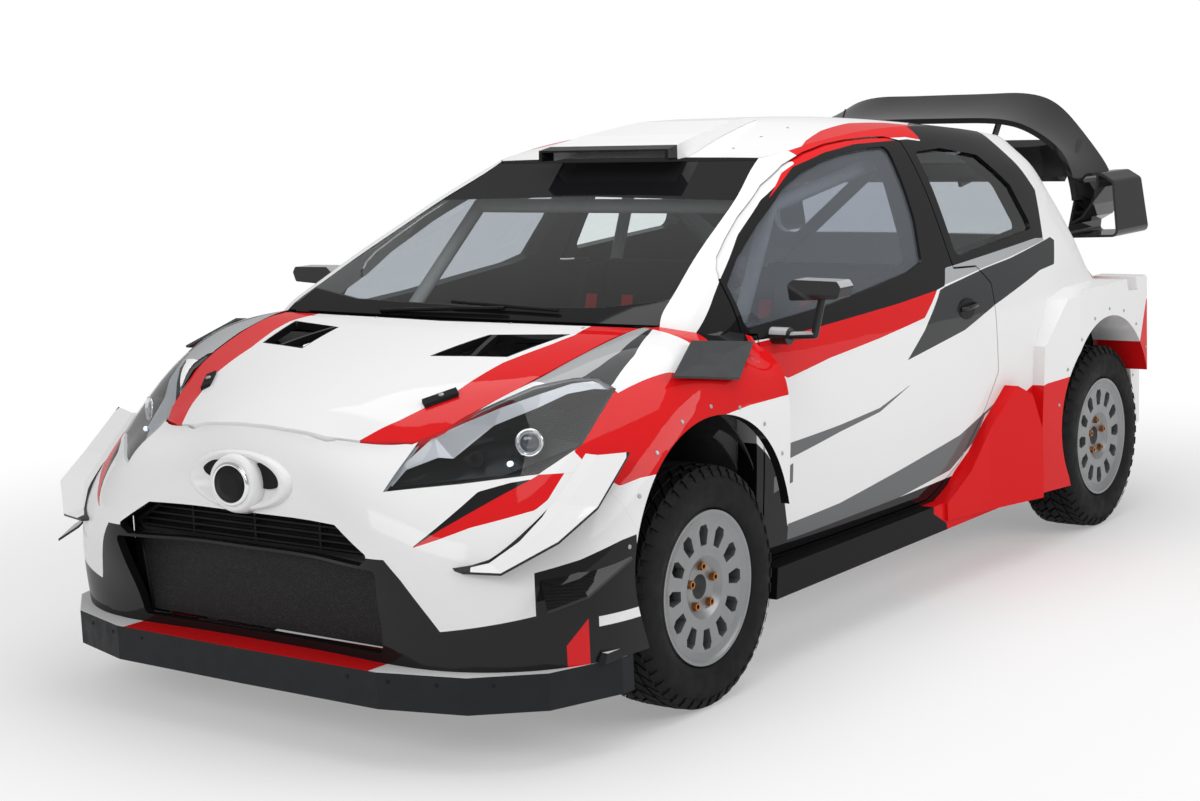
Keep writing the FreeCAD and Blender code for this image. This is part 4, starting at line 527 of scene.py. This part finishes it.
# %% Make the glass
SCREEN_BANDS = [
    ("side", "z", [(0.0, 1.292), (0.62, 1.280)], [(0.0, 1.50), (0.62, 1.50)]),
    ("side", "z", [(0.0, 0.90), (0.70, 0.90)], [(0.0, 1.018), (0.45, 1.024), (0.70, 1.05)]),
]


def glass(name, tint, bands=(), pale_film_share=0.0):
    """A thin pane: see-through, mirrored by Fresnel on its outer face, opaque black where printed."""
    made = Finish(name, Base_Color=(0.008, 0.008, 0.009, 1), Roughness=0.12, Coat_Weight=0.4,
                  Specular_IOR_Level=0.0)
    clear = made.node("ShaderNodeBsdfTransparent", {0: (*tint, 1.0)})
    mirror = made.node("ShaderNodeBsdfGlossy", {0: (1, 1, 1, 1), 1: 0.02})
    fresnel = made.node("ShaderNodeFresnel", {0: 1.45})
    outer = made.math("SUBTRACT", 1.0, made.node("ShaderNodeNewGeometry").outputs["Backfacing"])
    share = made.math("MULTIPLY", fresnel.outputs[0], outer)
    pane = made.blend(share, clear, mirror)
    # A share of the pane is a pale bluish diffuse film, which makes the side windows lighter.
    if pale_film_share:
        film = made.node("ShaderNodeBsdfDiffuse", {0: (0.62, 0.68, 0.76, 1.0)})
        pane = made.blend(pale_film_share, pane, film)
    for along, across, low, high in bands:
        inside = made.patch(along, across, low, high)
        pane = made.blend(inside, pane, made.shader)
    made.tree.links.new(pane.outputs[0], made.output.inputs["Surface"])
    return made


screen_glass = glass("screen_glass", (0.93, 0.95, 0.95), SCREEN_BANDS)
side_glass = glass("side_glass", (0.74, 0.76, 0.79), pale_film_share=0.07)
lamp_cover = glass("lamp_cover", (0.93, 0.94, 0.95))
wear(screen_glass, "fixed_glass")
wear(side_glass, "door_glass_left", "door_glass_right", "rear_glass")
wear(lamp_cover, "headlamp_lenses")
print("glass ready")

# %% [markdown]
# ## Tyres
# A gravel tyre has separate blocks with slanted grooves between them and wide shoulders. The tyre's section
# is spun about the axle, then each tread block is a small bevelled slab laid on that round. One mesh serves
# all four wheels.

# %% Spin the tyre and lay its blocks
SIDES = ((1, "left"), (-1, "right"))
ROUND_STEPS = 96
BLOCK_FOOT = 0.309
CHAMFER = 0.0012
SKEW = 3.0                  # slant of the grooves, in radians per metre across
SHOULDER_BLOCKS = 46
TREAD = [                   # inner and outer edge, shift, number of blocks, radius at their top
    (-0.0785, -0.0525, 0.0, SHOULDER_BLOCKS, 0.3198), (-0.0490, -0.0185, 0.5, 38, 0.3222),
    (-0.0150, 0.0150, 0.0, 38, 0.32245), (0.0185, 0.0490, 0.5, 38, 0.3222),
    (0.0525, 0.0785, 0.0, SHOULDER_BLOCKS, 0.3198),
]
WHEEL_X, HUB_Z = 0.808, 0.3225
rubber = plastic("rubber", (0.010, 0.010, 0.010), 0.55, 0.75, grain=500.0, depth=0.25)
SECTION = [
    (-0.080, 0.206), (-0.090, 0.214), (-0.0965, 0.240), (-0.0968, 0.268), (-0.0930, 0.292),
    (-0.0860, 0.306), (-0.0780, 0.3125), (-0.045, 0.3145), (0.0, 0.315)
]
SECTION += [(-x, r) for x, r in reversed(SECTION[:-1])]


def spun(name, section, steps):
    """A closed ring made by turning a section of (across, radius) points about the axle."""
    count = len(section)
    verts = []
    faces = []
    for i in range(steps):
        turn = 2 * math.pi * i / steps
        verts += [(x, r * math.cos(turn), r * math.sin(turn)) for x, r in section]
        j = (i + 1) % steps
        for k in range(count):
            m = (k + 1) % count
            faces.append((i * count + k, i * count + m, j * count + m, j * count + k))
    mesh = bpy.data.meshes.new(name)
    mesh.from_pydata(verts, [], faces)
    mesh.update()
    return mesh


def tread_block(book, x0, x1, turn0, turn1, skew, high):
    """One block: four corners on the round, with its top drawn in by a chamfer."""
    rows = []
    for r, inset in ((BLOCK_FOOT, 0.0), (high - CHAMFER, 0.0), (high, CHAMFER)):
        ring = []
        for x, t in ((x0 + inset, turn0), (x1 - inset, turn0), (x1 - inset, turn1), (x0 + inset, turn1)):
            slip = inset / r * (1 if t == turn0 else -1)
            a = t + slip + skew * x
            ring.append(book.verts.new((x, r * math.cos(a), r * math.sin(a))))
        rows.append(ring)
    for lower, upper in zip(rows, rows[1:]):
        for k in range(4):
            m = (k + 1) % 4
            book.faces.new((lower[k], lower[m], upper[m], upper[k]))
    book.faces.new(rows[-1])


def shoulder_block(book, sign, start, end):
    """One flat block on the tyre's shoulder, lifted 1.6 mm off it."""
    ring = []
    for x, r in ((0.0790, 0.3185), (0.0900, 0.3040), (0.0945, 0.2930)):
        for a in (start, end):
            ring.append(book.verts.new((sign * (x + 0.0016), r * math.cos(a), r * math.sin(a))))
    for k in (0, 2):
        book.faces.new((ring[k], ring[k + 1], ring[k + 3], ring[k + 2]))


def tyre_mesh():
    """The round with its five rows of tread blocks and its shoulder blocks."""
    mesh = spun("tyre_mesh", SECTION, ROUND_STEPS)
    book = bmesh.new()
    book.from_mesh(mesh)
    for x0, x1, shift, count, high in TREAD:
        pitch = 2 * math.pi / count
        skew = SKEW if x0 + x1 > 0 else -SKEW
        for i in range(count):
            start = (i + shift) * pitch
            tread_block(book, x0, x1, start, start + pitch * 0.80, skew, high)
    pitch = 2 * math.pi / SHOULDER_BLOCKS
    for sign in (-1, 1):
        for i in range(SHOULDER_BLOCKS):
            start = i * pitch + 0.02
            shoulder_block(book, sign, start, start + pitch * 0.62)
    bmesh.ops.recalc_face_normals(book, faces=book.faces)
    book.to_mesh(mesh)
    book.free()
    return mesh


tyre = tyre_mesh()
tyre.materials.append(rubber.material)
for face in tyre.polygons:
    face.use_smooth = face.index < ROUND_STEPS * len(SECTION)
wheels = []
for end, y in (("front", -1.218), ("rear", 1.293)):
    for sign, side in SIDES:
        piece = add_object("tyre_tread_%s_%s" % (end, side), tyre)
        piece.location = (sign * WHEEL_X, y, HUB_Z)
        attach(piece, "%s_wheel_%s" % (end, side))
        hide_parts("tyre_%s_%s" % (end, side))
        wheels.append((end, side, sign, y))
        wear(wheel_silver, "rim_%s_%s" % (end, side))
print("tyres:", len(wheels), "with", len(tyre.polygons), "faces each")

# %% [markdown]
# ## Tools for the small parts
# The small parts are cut from five simple forms: a flat plate drawn by its corners, a pipe along a path, a
# round turned piece, a row of bolt heads, and a thin sheet laid on a panel. Each builds one mesh, gives it
# a finish and fixes it to a body, so that a door handle swings with the door and a wheel nut turns with
# its wheel.

# %% Plates, pipes, turned pieces, bolts and sheets
def fix(name, verts, faces, finish, body="chassis", slot="black_matte", smooth=False):
    """Make one mesh piece and fix it to a body of the car."""
    mesh = bpy.data.meshes.new(name)
    mesh.from_pydata([tuple(v) for v in verts], [], faces)
    book = bmesh.new()
    book.from_mesh(mesh)
    bmesh.ops.recalc_face_normals(book, faces=book.faces)
    book.to_mesh(mesh)
    book.free()
    for face in mesh.polygons:
        face.use_smooth = smooth and len(face.vertices) == 4
    mesh.materials.append(finish.material)
    piece = add_object(name, mesh)
    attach(piece, body)
    return piece


def plate(name, corners, depth, finish, **where):
    """A flat plate: its corners, and how far and which way it is thick."""
    count = len(corners)
    verts = [Vector(c) for c in corners]
    verts += [v + Vector(depth) for v in verts]
    faces = [tuple(range(count)), tuple(range(2 * count - 1, count - 1, -1))]
    faces += [(i, (i + 1) % count, count + (i + 1) % count, count + i) for i in range(count)]
    return fix(name, verts, faces, finish, **where)


def sided(sign, points):
    """The same points on the car's left (1) or right (-1)."""
    return [Vector((sign * x, y, z)) for x, y, z in points]


def circle(centre, axis, radius, steps, squeeze=1.0):
    """Points round an axis; squeeze flattens the circle."""
    guide = Vector((0, 0, 1)) if abs(axis.z) < 0.9 else Vector((1, 0, 0))
    first = axis.cross(guide).normalized()
    second = axis.cross(first)
    turns = [2 * math.pi * k / steps for k in range(steps)]
    return [centre + first * math.cos(t) * radius + second * math.sin(t) * radius * squeeze for t in turns]


def walls(rings, steps):
    """Faces of a closed tube: its two ends and the walls between its rings of points."""
    faces = [tuple(range(steps)), tuple(range((rings - 1) * steps, rings * steps))]
    for i in range(0, (rings - 1) * steps, steps):
        for k in range(steps):
            m = (k + 1) % steps
            faces.append((i + k, i + m, i + steps + m, i + steps + k))
    return faces


def pipe(name, points, radius, finish, sides=12, **where):
    """A round bar along a path."""
    points = [Vector(p) for p in points]
    last = len(points) - 1
    verts = []
    for i, point in enumerate(points):
        along = (points[min(i + 1, last)] - points[max(i - 1, 0)]).normalized()
        verts += circle(point, along, radius, sides)
    return fix(name, verts, walls(len(points), sides), finish, smooth=True, **where)


def lathe(centre, axis, profile, steps, squeeze=1.0):
    """Vertices and faces of a round piece: its profile is (along the axis, radius) pairs."""
    axis = Vector(axis).normalized()
    verts = []
    for along, radius in profile:
        verts += circle(Vector(centre) + axis * along, axis, radius, steps, squeeze)
    return verts, walls(len(profile), steps)


def turned(name, centre, axis, profile, finish, steps=32, squeeze=1.0, **where):
    """A round piece turned about an axis."""
    verts, faces = lathe(centre, axis, profile, steps, squeeze)
    return fix(name, verts, faces, finish, smooth=True, **where)


def cluster(name, spots, profile, steps, finish, **where):
    """One mesh of equal round pieces: each spot is a point and the way it faces."""
    verts = []
    faces = []
    for point, way in spots:
        more, rings = lathe(point, way, profile, steps)
        faces += [tuple(k + len(verts) for k in ring) for ring in rings]
        verts += more
    return fix(name, verts, faces, finish, **where)


def heads(name, spots, radius, finish, **where):
    """Domed bolt heads."""
    dome = [(-0.002, radius), (0.001, radius), (0.0025, radius * 0.6)]
    return cluster(name, spots, dome, 10, finish, **where)


TREES = {}


def touch(node, start, way):
    """Where a straight line from a point first meets a panel, and how the panel faces there."""
    if node not in TREES:
        mesh = parts[node].data
        TREES[node] = BVHTree.FromPolygons([v.co for v in mesh.vertices],
                                           [tuple(f.vertices) for f in mesh.polygons])
    place, facing, _, _ = TREES[node].ray_cast(Vector(start), Vector(way).normalized())
    return place, facing


def skin(name, node, corners, way, lift, finish, cuts, **where):
    """A thin sheet that follows a panel: four corners in the air, laid down along a direction."""
    across, down = cuts
    way = Vector(way).normalized()
    first, second, third, fourth = (Vector(c) for c in corners)
    verts = []
    for j in range(down + 1):
        left = first.lerp(fourth, j / down)
        right = second.lerp(third, j / down)
        for i in range(across + 1):
            place, _ = touch(node, left.lerp(right, i / across), way)
            if place is None:
                return None
            verts.append(place - way * lift)
    faces = []
    for j in range(down):
        for i in range(across):
            a = j * (across + 1) + i
            faces.append((a, a + 1, a + across + 2, a + across + 1))
    return fix(name, verts, faces, finish, smooth=True, **where)


def bolts_on(name, nodes, starts, way, radius, finish, **where):
    """Bolt heads laid on whichever of some panels each line meets within half a metre."""
    spots = []
    for start in starts:
        for node in nodes:
            place, facing = touch(node, start, way)
            if place is not None and (place - Vector(start)).length < 0.5:
                spots.append((place, facing))
                break
    if spots:
        heads(name, spots, radius, finish, **where)
    return len(spots)


print("small part tools ready")

# %% [markdown]
# ## The mesh panel
# From a step away the lower mouth reads as one black panel of very fine wire in a thin frame. Real wire
# that fine would be a million faces, so the panel is a thin sheet whose bump and two tones repeat every 5
# mm. A dark bar crosses its top. The panel stands for the coarse grille of the frame and sits in the same
# place.

# %% Fine wire panel and its bar
TOP_X, TOP_Z = 0.462, 0.494         # upper and lower corners of the mouth
FOOT_X, FOOT_Z = 0.428, 0.276
wire = Finish("fine_wire", Specular_IOR_Level=0.2, Roughness=0.55)
wire.place()
cells = wire.node("ShaderNodeTexVoronoi", {"Vector": wire.spot, "Scale": 190.0}, feature="DISTANCE_TO_EDGE")
strand = wire.math("LESS_THAN", cells.outputs["Distance"], 0.12)
wire.set(Base_Color=wire.mix(strand, (0.003, 0.003, 0.003), (0.022, 0.022, 0.023)))
wire.bump(strand, 0.5, 0.001)
wire_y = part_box("lower_grille")[0][1] + 0.004
back_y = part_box("upper_grille")[1][1] + 0.004
panel = plate("mesh_panel", [(-TOP_X, wire_y, TOP_Z), (TOP_X, wire_y, TOP_Z), (FOOT_X, wire_y, FOOT_Z),
                             (-FOOT_X, wire_y, FOOT_Z)], (0, 0.010, 0), wire)
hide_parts("lower_grille")
pipe("mesh_bar_top", [(-TOP_X, wire_y, 0.498), (TOP_X, wire_y, 0.498)], 0.006, splitter_plastic)
backing = [(-0.455, 0.500), (0.455, 0.500), (0.440, 0.535), (0.335, 0.600), (-0.335, 0.600), (-0.440, 0.535)]
plate("upper_backing", [(x, back_y, z) for x, z in backing], (0, 0.006, 0), matt_black)
side_y = wire_y + 0.022
for sign, side in SIDES:
    pipe("mesh_edge_" + side, sided(sign, [(TOP_X, wire_y, TOP_Z), (FOOT_X, wire_y, FOOT_Z)]), 0.005,
         satin_black)
for sign, side in SIDES:
    plate("mouth_side_" + side, sided(sign, [(0.400, side_y, 0.262), (0.512, side_y, 0.262),
                                             (0.512, side_y, 0.590), (0.400, side_y, 0.590)]),
          (0, 0.004, 0), matt_black)
print("mesh panel at y", round(wire_y, 3))

# %% [markdown]
# ## The nose
# Between the lamps a smooth oval pod stands out of the bumper, with a blank round boss and an air inlet on
# each side of it; each inlet is a flat dark disc, painted shade for its opening. The pod is an oval rim round
# a shallow hollow: a turned profile that is squeezed in height makes it with one call.

# %% Nose pod, boss and inlets
POD_WAY = (0, -1, 0.10)
BOSS, BOSS_WAY = (0.0, -2.000, 0.668), (0, -1, 0.06)
turned("nose_pod", (0.0, -1.992, 0.674), POD_WAY,
       [(-0.03, 0.184), (0.006, 0.182), (0.018, 0.175), (0.024, 0.164), (0.021, 0.153), (0.006, 0.134),
        (0.003, 0.050)], plain_paint, steps=64, squeeze=0.42, slot="white_paint")
turned("nose_collar", BOSS, BOSS_WAY,
       [(-0.01, 0.092), (0.016, 0.086), (0.028, 0.080), (0.033, 0.073), (0.030, 0.066)],
       plain_paint, steps=44, squeeze=0.88, slot="white_paint")
turned("nose_boss", BOSS, BOSS_WAY, [(-0.01, 0.066), (0.034, 0.066), (0.038, 0.060), (0.036, 0.055)],
       chrome, steps=44, squeeze=0.86, slot="steel")
turned("nose_boss_face", BOSS, BOSS_WAY, [(0.0, 0.056), (0.036, 0.056), (0.039, 0.030)],
       satin_black, steps=44, squeeze=0.86)
# Each inlet is a flat matt black disc on the pod: painted shade for its opening.
for side, x, z, outer, inner, squeeze in (("left", 0.100, 0.694, 0.056, 0.050, 0.62),
                                          ("right", -0.090, 0.698, 0.040, 0.036, 0.55)):
    turned("nose_inlet_shade_" + side, (x, -1.992, z), POD_WAY, [(-0.03, outer), (0.009, outer), (0.010, inner)],
           matt_black, steps=36, squeeze=squeeze)
print("nose pod fitted")

# %% [markdown]
# ## Lamps
# Behind the clear cover each lamp has a ringed projector with a glass ball and, inboard of it, a small
# daytime light whose glow is a painted highlight. The ball is a plain dome; its glass is dark, because the
# chamber behind it is black.

# %% Projector ring, glass ball and day light
ball_glass = Finish("ball_glass", Base_Color=(0.05, 0.06, 0.07, 1), Metallic=0.2, Coat_Weight=1.0,
                    Roughness=0.08)
ball_glass.bump(ball_glass.noise(60.0, 2.0), 0.05, 0.001)
# The daytime light's glow is a painted highlight on its small lens.
day_light_glint = Finish("day_light_glint", Base_Color=(0.9, 0.95, 1.0, 1), Roughness=0.3,
                   Emission_Color=(0.7, 0.85, 1.0, 1), Emission_Strength=1.4)
day_light_glint.bump(day_light_glint.noise(300.0, 2.0), 0.1, 0.0005)
brow_silver = Finish("brow_silver", Metallic=0.4, Roughness=0.28)
brow_silver.set(Base_Color=brow_silver.mix(brow_silver.noise(3.0, 1.0), (0.46, 0.47, 0.49),
                                           (0.54, 0.55, 0.57)))
brow_silver.bump(brow_silver.noise(900.0, 1.0), 0.02, 0.0002)
LAMP_WAY = Vector((0.42, -0.88, 0.10)).normalized()
BOWL = [
    (0.466, -1.961, 0.681), (0.465, -1.905, 0.725), (0.462, -1.824, 0.774), (0.525, -1.743, 0.811),
    (0.596, -1.670, 0.847), (0.664, -1.594, 0.875), (0.723, -1.505, 0.896), (0.791, -1.463, 0.878),
    (0.801, -1.509, 0.843), (0.799, -1.616, 0.759), (0.680, -1.785, 0.699), (0.588, -1.863, 0.693)
]
BROW_TOP = [
    (0.466, -1.950, 0.690), (0.466, -1.890, 0.735), (0.480, -1.795, 0.786), (0.525, -1.743, 0.811),
    (0.596, -1.670, 0.847), (0.664, -1.594, 0.875), (0.708, -1.525, 0.893), (0.745, -1.485, 0.896),
    (0.786, -1.463, 0.881)
]
BROW_LOW = [
    (0.470, -1.948, 0.686), (0.480, -1.904, 0.721), (0.529, -1.840, 0.744), (0.562, -1.822, 0.741),
    (0.605, -1.712, 0.809), (0.677, -1.625, 0.845), (0.717, -1.553, 0.872), (0.758, -1.499, 0.879),
    (0.789, -1.466, 0.874)
]


def sunk(sign, points, depth):
    """Points of one lamp, moved back from its cover along the way it faces."""
    way = Vector((sign * LAMP_WAY.x, LAMP_WAY.y, LAMP_WAY.z))
    return [point - way * depth for point in sided(sign, points)]


for sign, side in SIDES:
    way, = sided(sign, [LAMP_WAY])
    rim = sunk(sign, BOWL, 0.040)
    count = len(rim)
    fix("lamp_bowl_" + side, rim + sunk(sign, [(0.64, -1.68, 0.785)], 0.075),
        [(k, (k + 1) % count, count) for k in range(count)], lamp_bowl)
    half = len(BROW_TOP)
    fix("lamp_brow_" + side, sunk(sign, BROW_TOP + BROW_LOW, 0.012),
        [(k, k + 1, half + k + 1, half + k) for k in range(half - 1)], brow_silver, slot="steel")
    seat, = sunk(sign, [(0.699, -1.695, 0.769)], 0.022)
    turned("projector_ring_" + side, seat, way,
           [(-0.004, 0.030), (0.004, 0.036), (0.007, 0.036), (0.007, 0.030), (0.001, 0.028)],
           chrome, slot="steel")
    turned("projector_ball_" + side, seat - way * 0.006, way,
           [(0.0, 0.028), (0.006, 0.026), (0.011, 0.018), (0.013, 0.008)], ball_glass, slot="lens")
    spot, = sunk(sign, [(0.6755, -1.750, 0.7226)], 0.030)
    turned("day_light_glint_" + side, spot, way, [(-0.01, 0.007), (0.004, 0.007), (0.006, 0.004)], day_light_glint,
           steps=20, slot="lens")
print("lamps fitted:", len(SIDES))

# %% [markdown]
# ## The bonnet's and the fenders' fittings
# Two pinned latches hold the bonnet. A mesh flap with a row of small screws covers the vent above each
# front wheel. The wiper lies at the foot of the windscreen.

# %% Latches, vent flaps, wiper and screws
flap_mesh = plastic("flap_mesh", (0.055, 0.057, 0.060), 0.45, 0.60, grain=260.0, depth=0.5)
PAD = [(0.386, -1.724, 0.855), (0.408, -1.738, 0.845), (0.460, -1.666, 0.868), (0.437, -1.650, 0.878)]
FLAP = [(0.839, -1.179, 0.960), (0.857, -0.908, 0.925), (0.940, -1.110, 0.858), (0.892, -1.343, 0.893)]
for sign, side in SIDES:
    plate("bonnet_latch_" + side, sided(sign, PAD), (0, 0, 0.010), matt_black, body="bonnet_body")
    turned("latch_pin_" + side, (sign * 0.424, -1.692, 0.870), (0, -0.2, 1),
           [(0.0, 0.008), (0.006, 0.008), (0.008, 0.005)], bare_steel, steps=16, body="bonnet_body",
           slot="steel")
    plate("vent_flap_" + side, sided(sign, FLAP), (sign * 0.004, 0, 0.006), flap_mesh)
    for k in range(5):
        y = -1.285 + 0.090 * k
        fin = [(0.835, y, 0.90), (0.835, y + 0.05, 0.935 - 0.01 * k),
               (0.885, y + 0.02, 0.885 - 0.006 * k), (0.885, y, 0.86)]
        plate("vent_fin_%s_%d" % (side, k), sided(sign, fin), (0, 0.004, 0), matt_black)
    screws = [((sign * 0.885, -1.04 + 0.028 * k, 0.893 - 0.004 * k), (sign * 0.6, 0, 0.8)) for k in range(6)]
    heads("vent_screws_" + side, screws, 0.005, bare_steel, slot="steel")
pipe("wiper_arm", [(-0.30, -1.115, 1.000), (-0.02, -1.108, 1.014), (0.16, -1.104, 1.020)], 0.006, satin_black)
pipe("wiper_blade", [(-0.05, -1.086, 1.030), (0.342, -1.092, 1.018)], 0.005, matt_black)
print("bonnet and fender fittings ready")

# %% [markdown]
# ## Wheel fittings
# Each wheel is held by a ring of bronze nuts round an open centre. They turn with the wheel.

# %% Wheel nuts
NUT = [(0.0, 0.012), (0.016, 0.0115), (0.016, 0.007), (0.008, 0.006)]
NUT_TURNS = [2 * math.pi * (k + 0.25) / 5 for k in range(5)]
NUT_CIRCLE = 0.056
for end, side, sign, y in wheels:
    spots = [((sign * (WHEEL_X + 0.060), y + NUT_CIRCLE * math.cos(t), HUB_Z + NUT_CIRCLE * math.sin(t)),
              (sign, 0, 0)) for t in NUT_TURNS]
    cluster("wheel_nuts_%s_%s" % (end, side), spots, NUT, 6, bronze, body="%s_wheel_%s" % (end, side),
            slot="steel")
print("wheel nuts fitted:", len(wheels) * len(NUT_TURNS))

# %% [markdown]
# ## Doors, aerial and belts
# A black oval recess holds each door's handle. A short aerial stands on the roof, and the seats have
# harnesses.

# %% Handles, aerial and harnesses
webbing = plastic("harness_webbing", (0.45, 0.012, 0.014), 0.75, 0.90, grain=1500.0, depth=0.5)
GRIP = [(0.856, 0.310, 0.880), (0.868, 0.33, 0.882), (0.868, 0.395, 0.886), (0.856, 0.415, 0.888)]
for sign, side in SIDES:
    turned("handle_recess_" + side, (sign * 0.848, 0.359, 0.878), (sign, 0, 0.06),
           [(0.0, 0.062), (0.006, 0.060), (0.007, 0.052)], satin_black, steps=36, squeeze=0.55,
           body="door_body_" + side)
    pipe("handle_grip_" + side, sided(sign, GRIP), 0.007, gloss_black, body="door_body_" + side)
    for k, offset in enumerate((-0.075, 0.075)):
        x = sign * 0.35 + offset
        plate("harness_%s_%d" % (side, k), [(x - 0.022, 0.085, 0.92), (x + 0.022, 0.085, 0.92),
                                            (x + 0.022, -0.02, 0.55), (x - 0.022, -0.02, 0.55)],
              (0, -0.004, 0), webbing, slot="fabric")
pipe("roof_aerial", [(0.0, 1.056, 1.436), (0.012, 1.075, 1.500)], 0.003, satin_black)
print("doors, aerial and harnesses ready")

# %% [markdown]
# ## The tail and the bolts
# The rear bumper has a dark mesh over its middle, an outlet behind each wheel and a blank plate panel. Each
# of them is laid on the bumper with straight lines cast at the panel's own mesh, so it follows the curve
# without measuring it. The bolt heads round the arches, along the splitter, on the roof and on the bonnet
# are placed the same way.

# %% Rear panels and bolts
BEHIND = 2.3                # lines at the bumpers start this far from the middle


def rear_sheet(name, corners, lift, finish, cuts, **where):
    """A sheet on the rear bumper, drawn by the (x, z) of its corners."""
    return skin(name, "rear_bumper", [(x, BEHIND, z) for x, z in corners], (0, -1, 0), lift, finish, cuts,
                **where)


rear_sheet("rear_mesh", [(-0.46, 0.480), (0.46, 0.480), (0.42, 0.390), (-0.42, 0.390)], 0.003, wire, (24, 4))
OUTLET = [(0.54, 0.640), (0.76, 0.610), (0.74, 0.400), (0.56, 0.380)]
FLASH = [(0.10, 0.700), (0.70, 0.730), (0.70, 0.675), (0.10, 0.690)]
for sign, side in SIDES:
    rear_sheet("rear_outlet_" + side, [(sign * x, z) for x, z in OUTLET], 0.003, matt_black, (8, 8))
    rear_sheet("rear_flash_" + side, [(sign * x, z) for x, z in FLASH], 0.002, rear_red, (16, 2),
               slot="red_paint")
rear_sheet("plate_panel", [(-0.24, 0.610), (0.24, 0.610), (0.24, 0.505), (-0.24, 0.505)], 0.004, satin_black,
           (10, 2))
count = 0
for sign, side in SIDES:
    for end, y, z, reach, nodes in (("front", ARCH_Y, ARCH_Z, 0.385, ["front_fenders", "front_bumper"]),
                                    ("rear", 1.273, 0.400, 0.380, ["body_sides", "rear_bumper"])):
        turns = [math.radians(14 + 19 * k) for k in range(9)]
        starts = [(sign * 1.2, y + reach * math.cos(t), z + reach * math.sin(t)) for t in turns]
        count += bolts_on("arch_bolts_%s_%s" % (end, side), nodes, starts, (-sign, 0, 0), 0.006, bare_steel,
                          slot="steel")
starts = [(-0.75 + 0.125 * k, -BEHIND, 0.222) for k in range(13) if abs(k - 6) > 2]
count += bolts_on("splitter_bolts", ["splitter"], starts, (0, 1, 0), 0.005, satin_black)
starts = [(x, y, 1.8) for x in (-0.34, 0.34) for y in (-0.18, -0.02, 0.14)]
count += bolts_on("roof_bolts", ["roof_panel"], starts, (0, 0, -1), 0.005, bare_steel, slot="steel")
starts = [(x, -1.19, 1.4) for x in (-0.50, -0.25, 0.25, 0.50)]
count += bolts_on("bonnet_screws", ["bonnet"], starts, (0, 0, -1), 0.005, bare_steel, body="bonnet_body",
                  slot="steel")
print("bolts placed:", count)

# %% [markdown]
# ## Floor, background and light
# The car stands in a plain white studio. The floor is a real surface close to the car, so it takes the
# shadow, and far out it fades to the white of the background. Soft lamps overhead and at the sides give the
# long highlights that show the shape of gloss paint. Their strength is low enough that a white panel is not
# clipped.

# %% Build the studio
bpy.ops.mesh.primitive_plane_add(size=80)
floor = bpy.context.object
floor.name = "studio_floor"
ground = Finish("studio_floor", Base_Color=(0.88, 0.88, 0.88, 1), Roughness=0.6)
ground.place()
ray = ground.node("ShaderNodeLightPath")
white = ground.node("ShaderNodeEmission", {0: (1, 1, 1, 1), 1: 1.0})
flat = ground.node("ShaderNodeVectorMath", {0: ground.spot, 1: (1, 1, 0)}, operation="MULTIPLY")
reach = ground.node("ShaderNodeVectorMath", {0: flat.outputs[0]}, operation="LENGTH").outputs[1]
fade = ground.node("ShaderNodeMapRange", {0: reach, 1: 1.5, 2: 4.2, 3: 0.30, 4: 1.0},
                   interpolation_type="SMOOTHSTEP")
seen = ground.math("MAXIMUM", ray.outputs["Is Camera Ray"], ray.outputs["Is Glossy Ray"])
seen = ground.math("MAXIMUM", seen, ray.outputs["Is Transmission Ray"])
amount = ground.math("MULTIPLY", fade.outputs[0], seen)
blend = ground.blend(amount, ground.shader, white)
ground.tree.links.new(blend.outputs[0], ground.output.inputs["Surface"])
floor.data.materials.append(ground.material)

sky = bpy.data.worlds.new("studio_sky")
bpy.context.scene.world = sky
sky.use_nodes = True
tree = sky.node_tree
tree.nodes.clear()
ray = tree.nodes.new("ShaderNodeLightPath")
plain, bright = (tree.nodes.new("ShaderNodeBackground") for _ in range(2))
for shade, strength in ((plain, 0.46), (bright, 1.0)):
    shade.inputs[0].default_value = (1, 1, 1, 1)
    shade.inputs[1].default_value = strength
share = tree.nodes.new("ShaderNodeMath")
share.operation = "MAXIMUM"
tree.links.new(ray.outputs["Is Camera Ray"], share.inputs[0])
tree.links.new(ray.outputs["Is Transmission Ray"], share.inputs[1])
blend = tree.nodes.new("ShaderNodeMixShader")
tree.links.new(share.outputs[0], blend.inputs[0])
tree.links.new(plain.outputs[0], blend.inputs[1])
tree.links.new(bright.outputs[0], blend.inputs[2])
final = tree.nodes.new("ShaderNodeOutputWorld")
tree.links.new(blend.outputs[0], final.inputs[0])


def softbox(name, at, aim, width, height, watts):
    """A rectangular lamp that hangs at one point and is aimed at another."""
    lamp = bpy.data.lights.new(name, "AREA")
    lamp.shape = "RECTANGLE"
    lamp.size = width
    lamp.size_y = height
    lamp.energy = watts
    holder = add_object(name, lamp)
    holder.location = at
    holder.rotation_euler = (Vector(aim) - Vector(at)).to_track_quat("-Z", "Y").to_euler()


softbox("top_softbox", (0.5, -0.3, 4.2), (0, 0, 0), 3.2, 5.0, 100)
softbox("side_softbox", (5.0, 0.5, 2.6), (0.5, 0.2, 0.6), 5.0, 1.6, 75)
softbox("front_softbox", (0.5, -6.0, 2.8), (0, -1.5, 0.5), 4.0, 1.6, 70)
bpy.context.scene.view_settings.view_transform = "Standard"
print("studio ready")
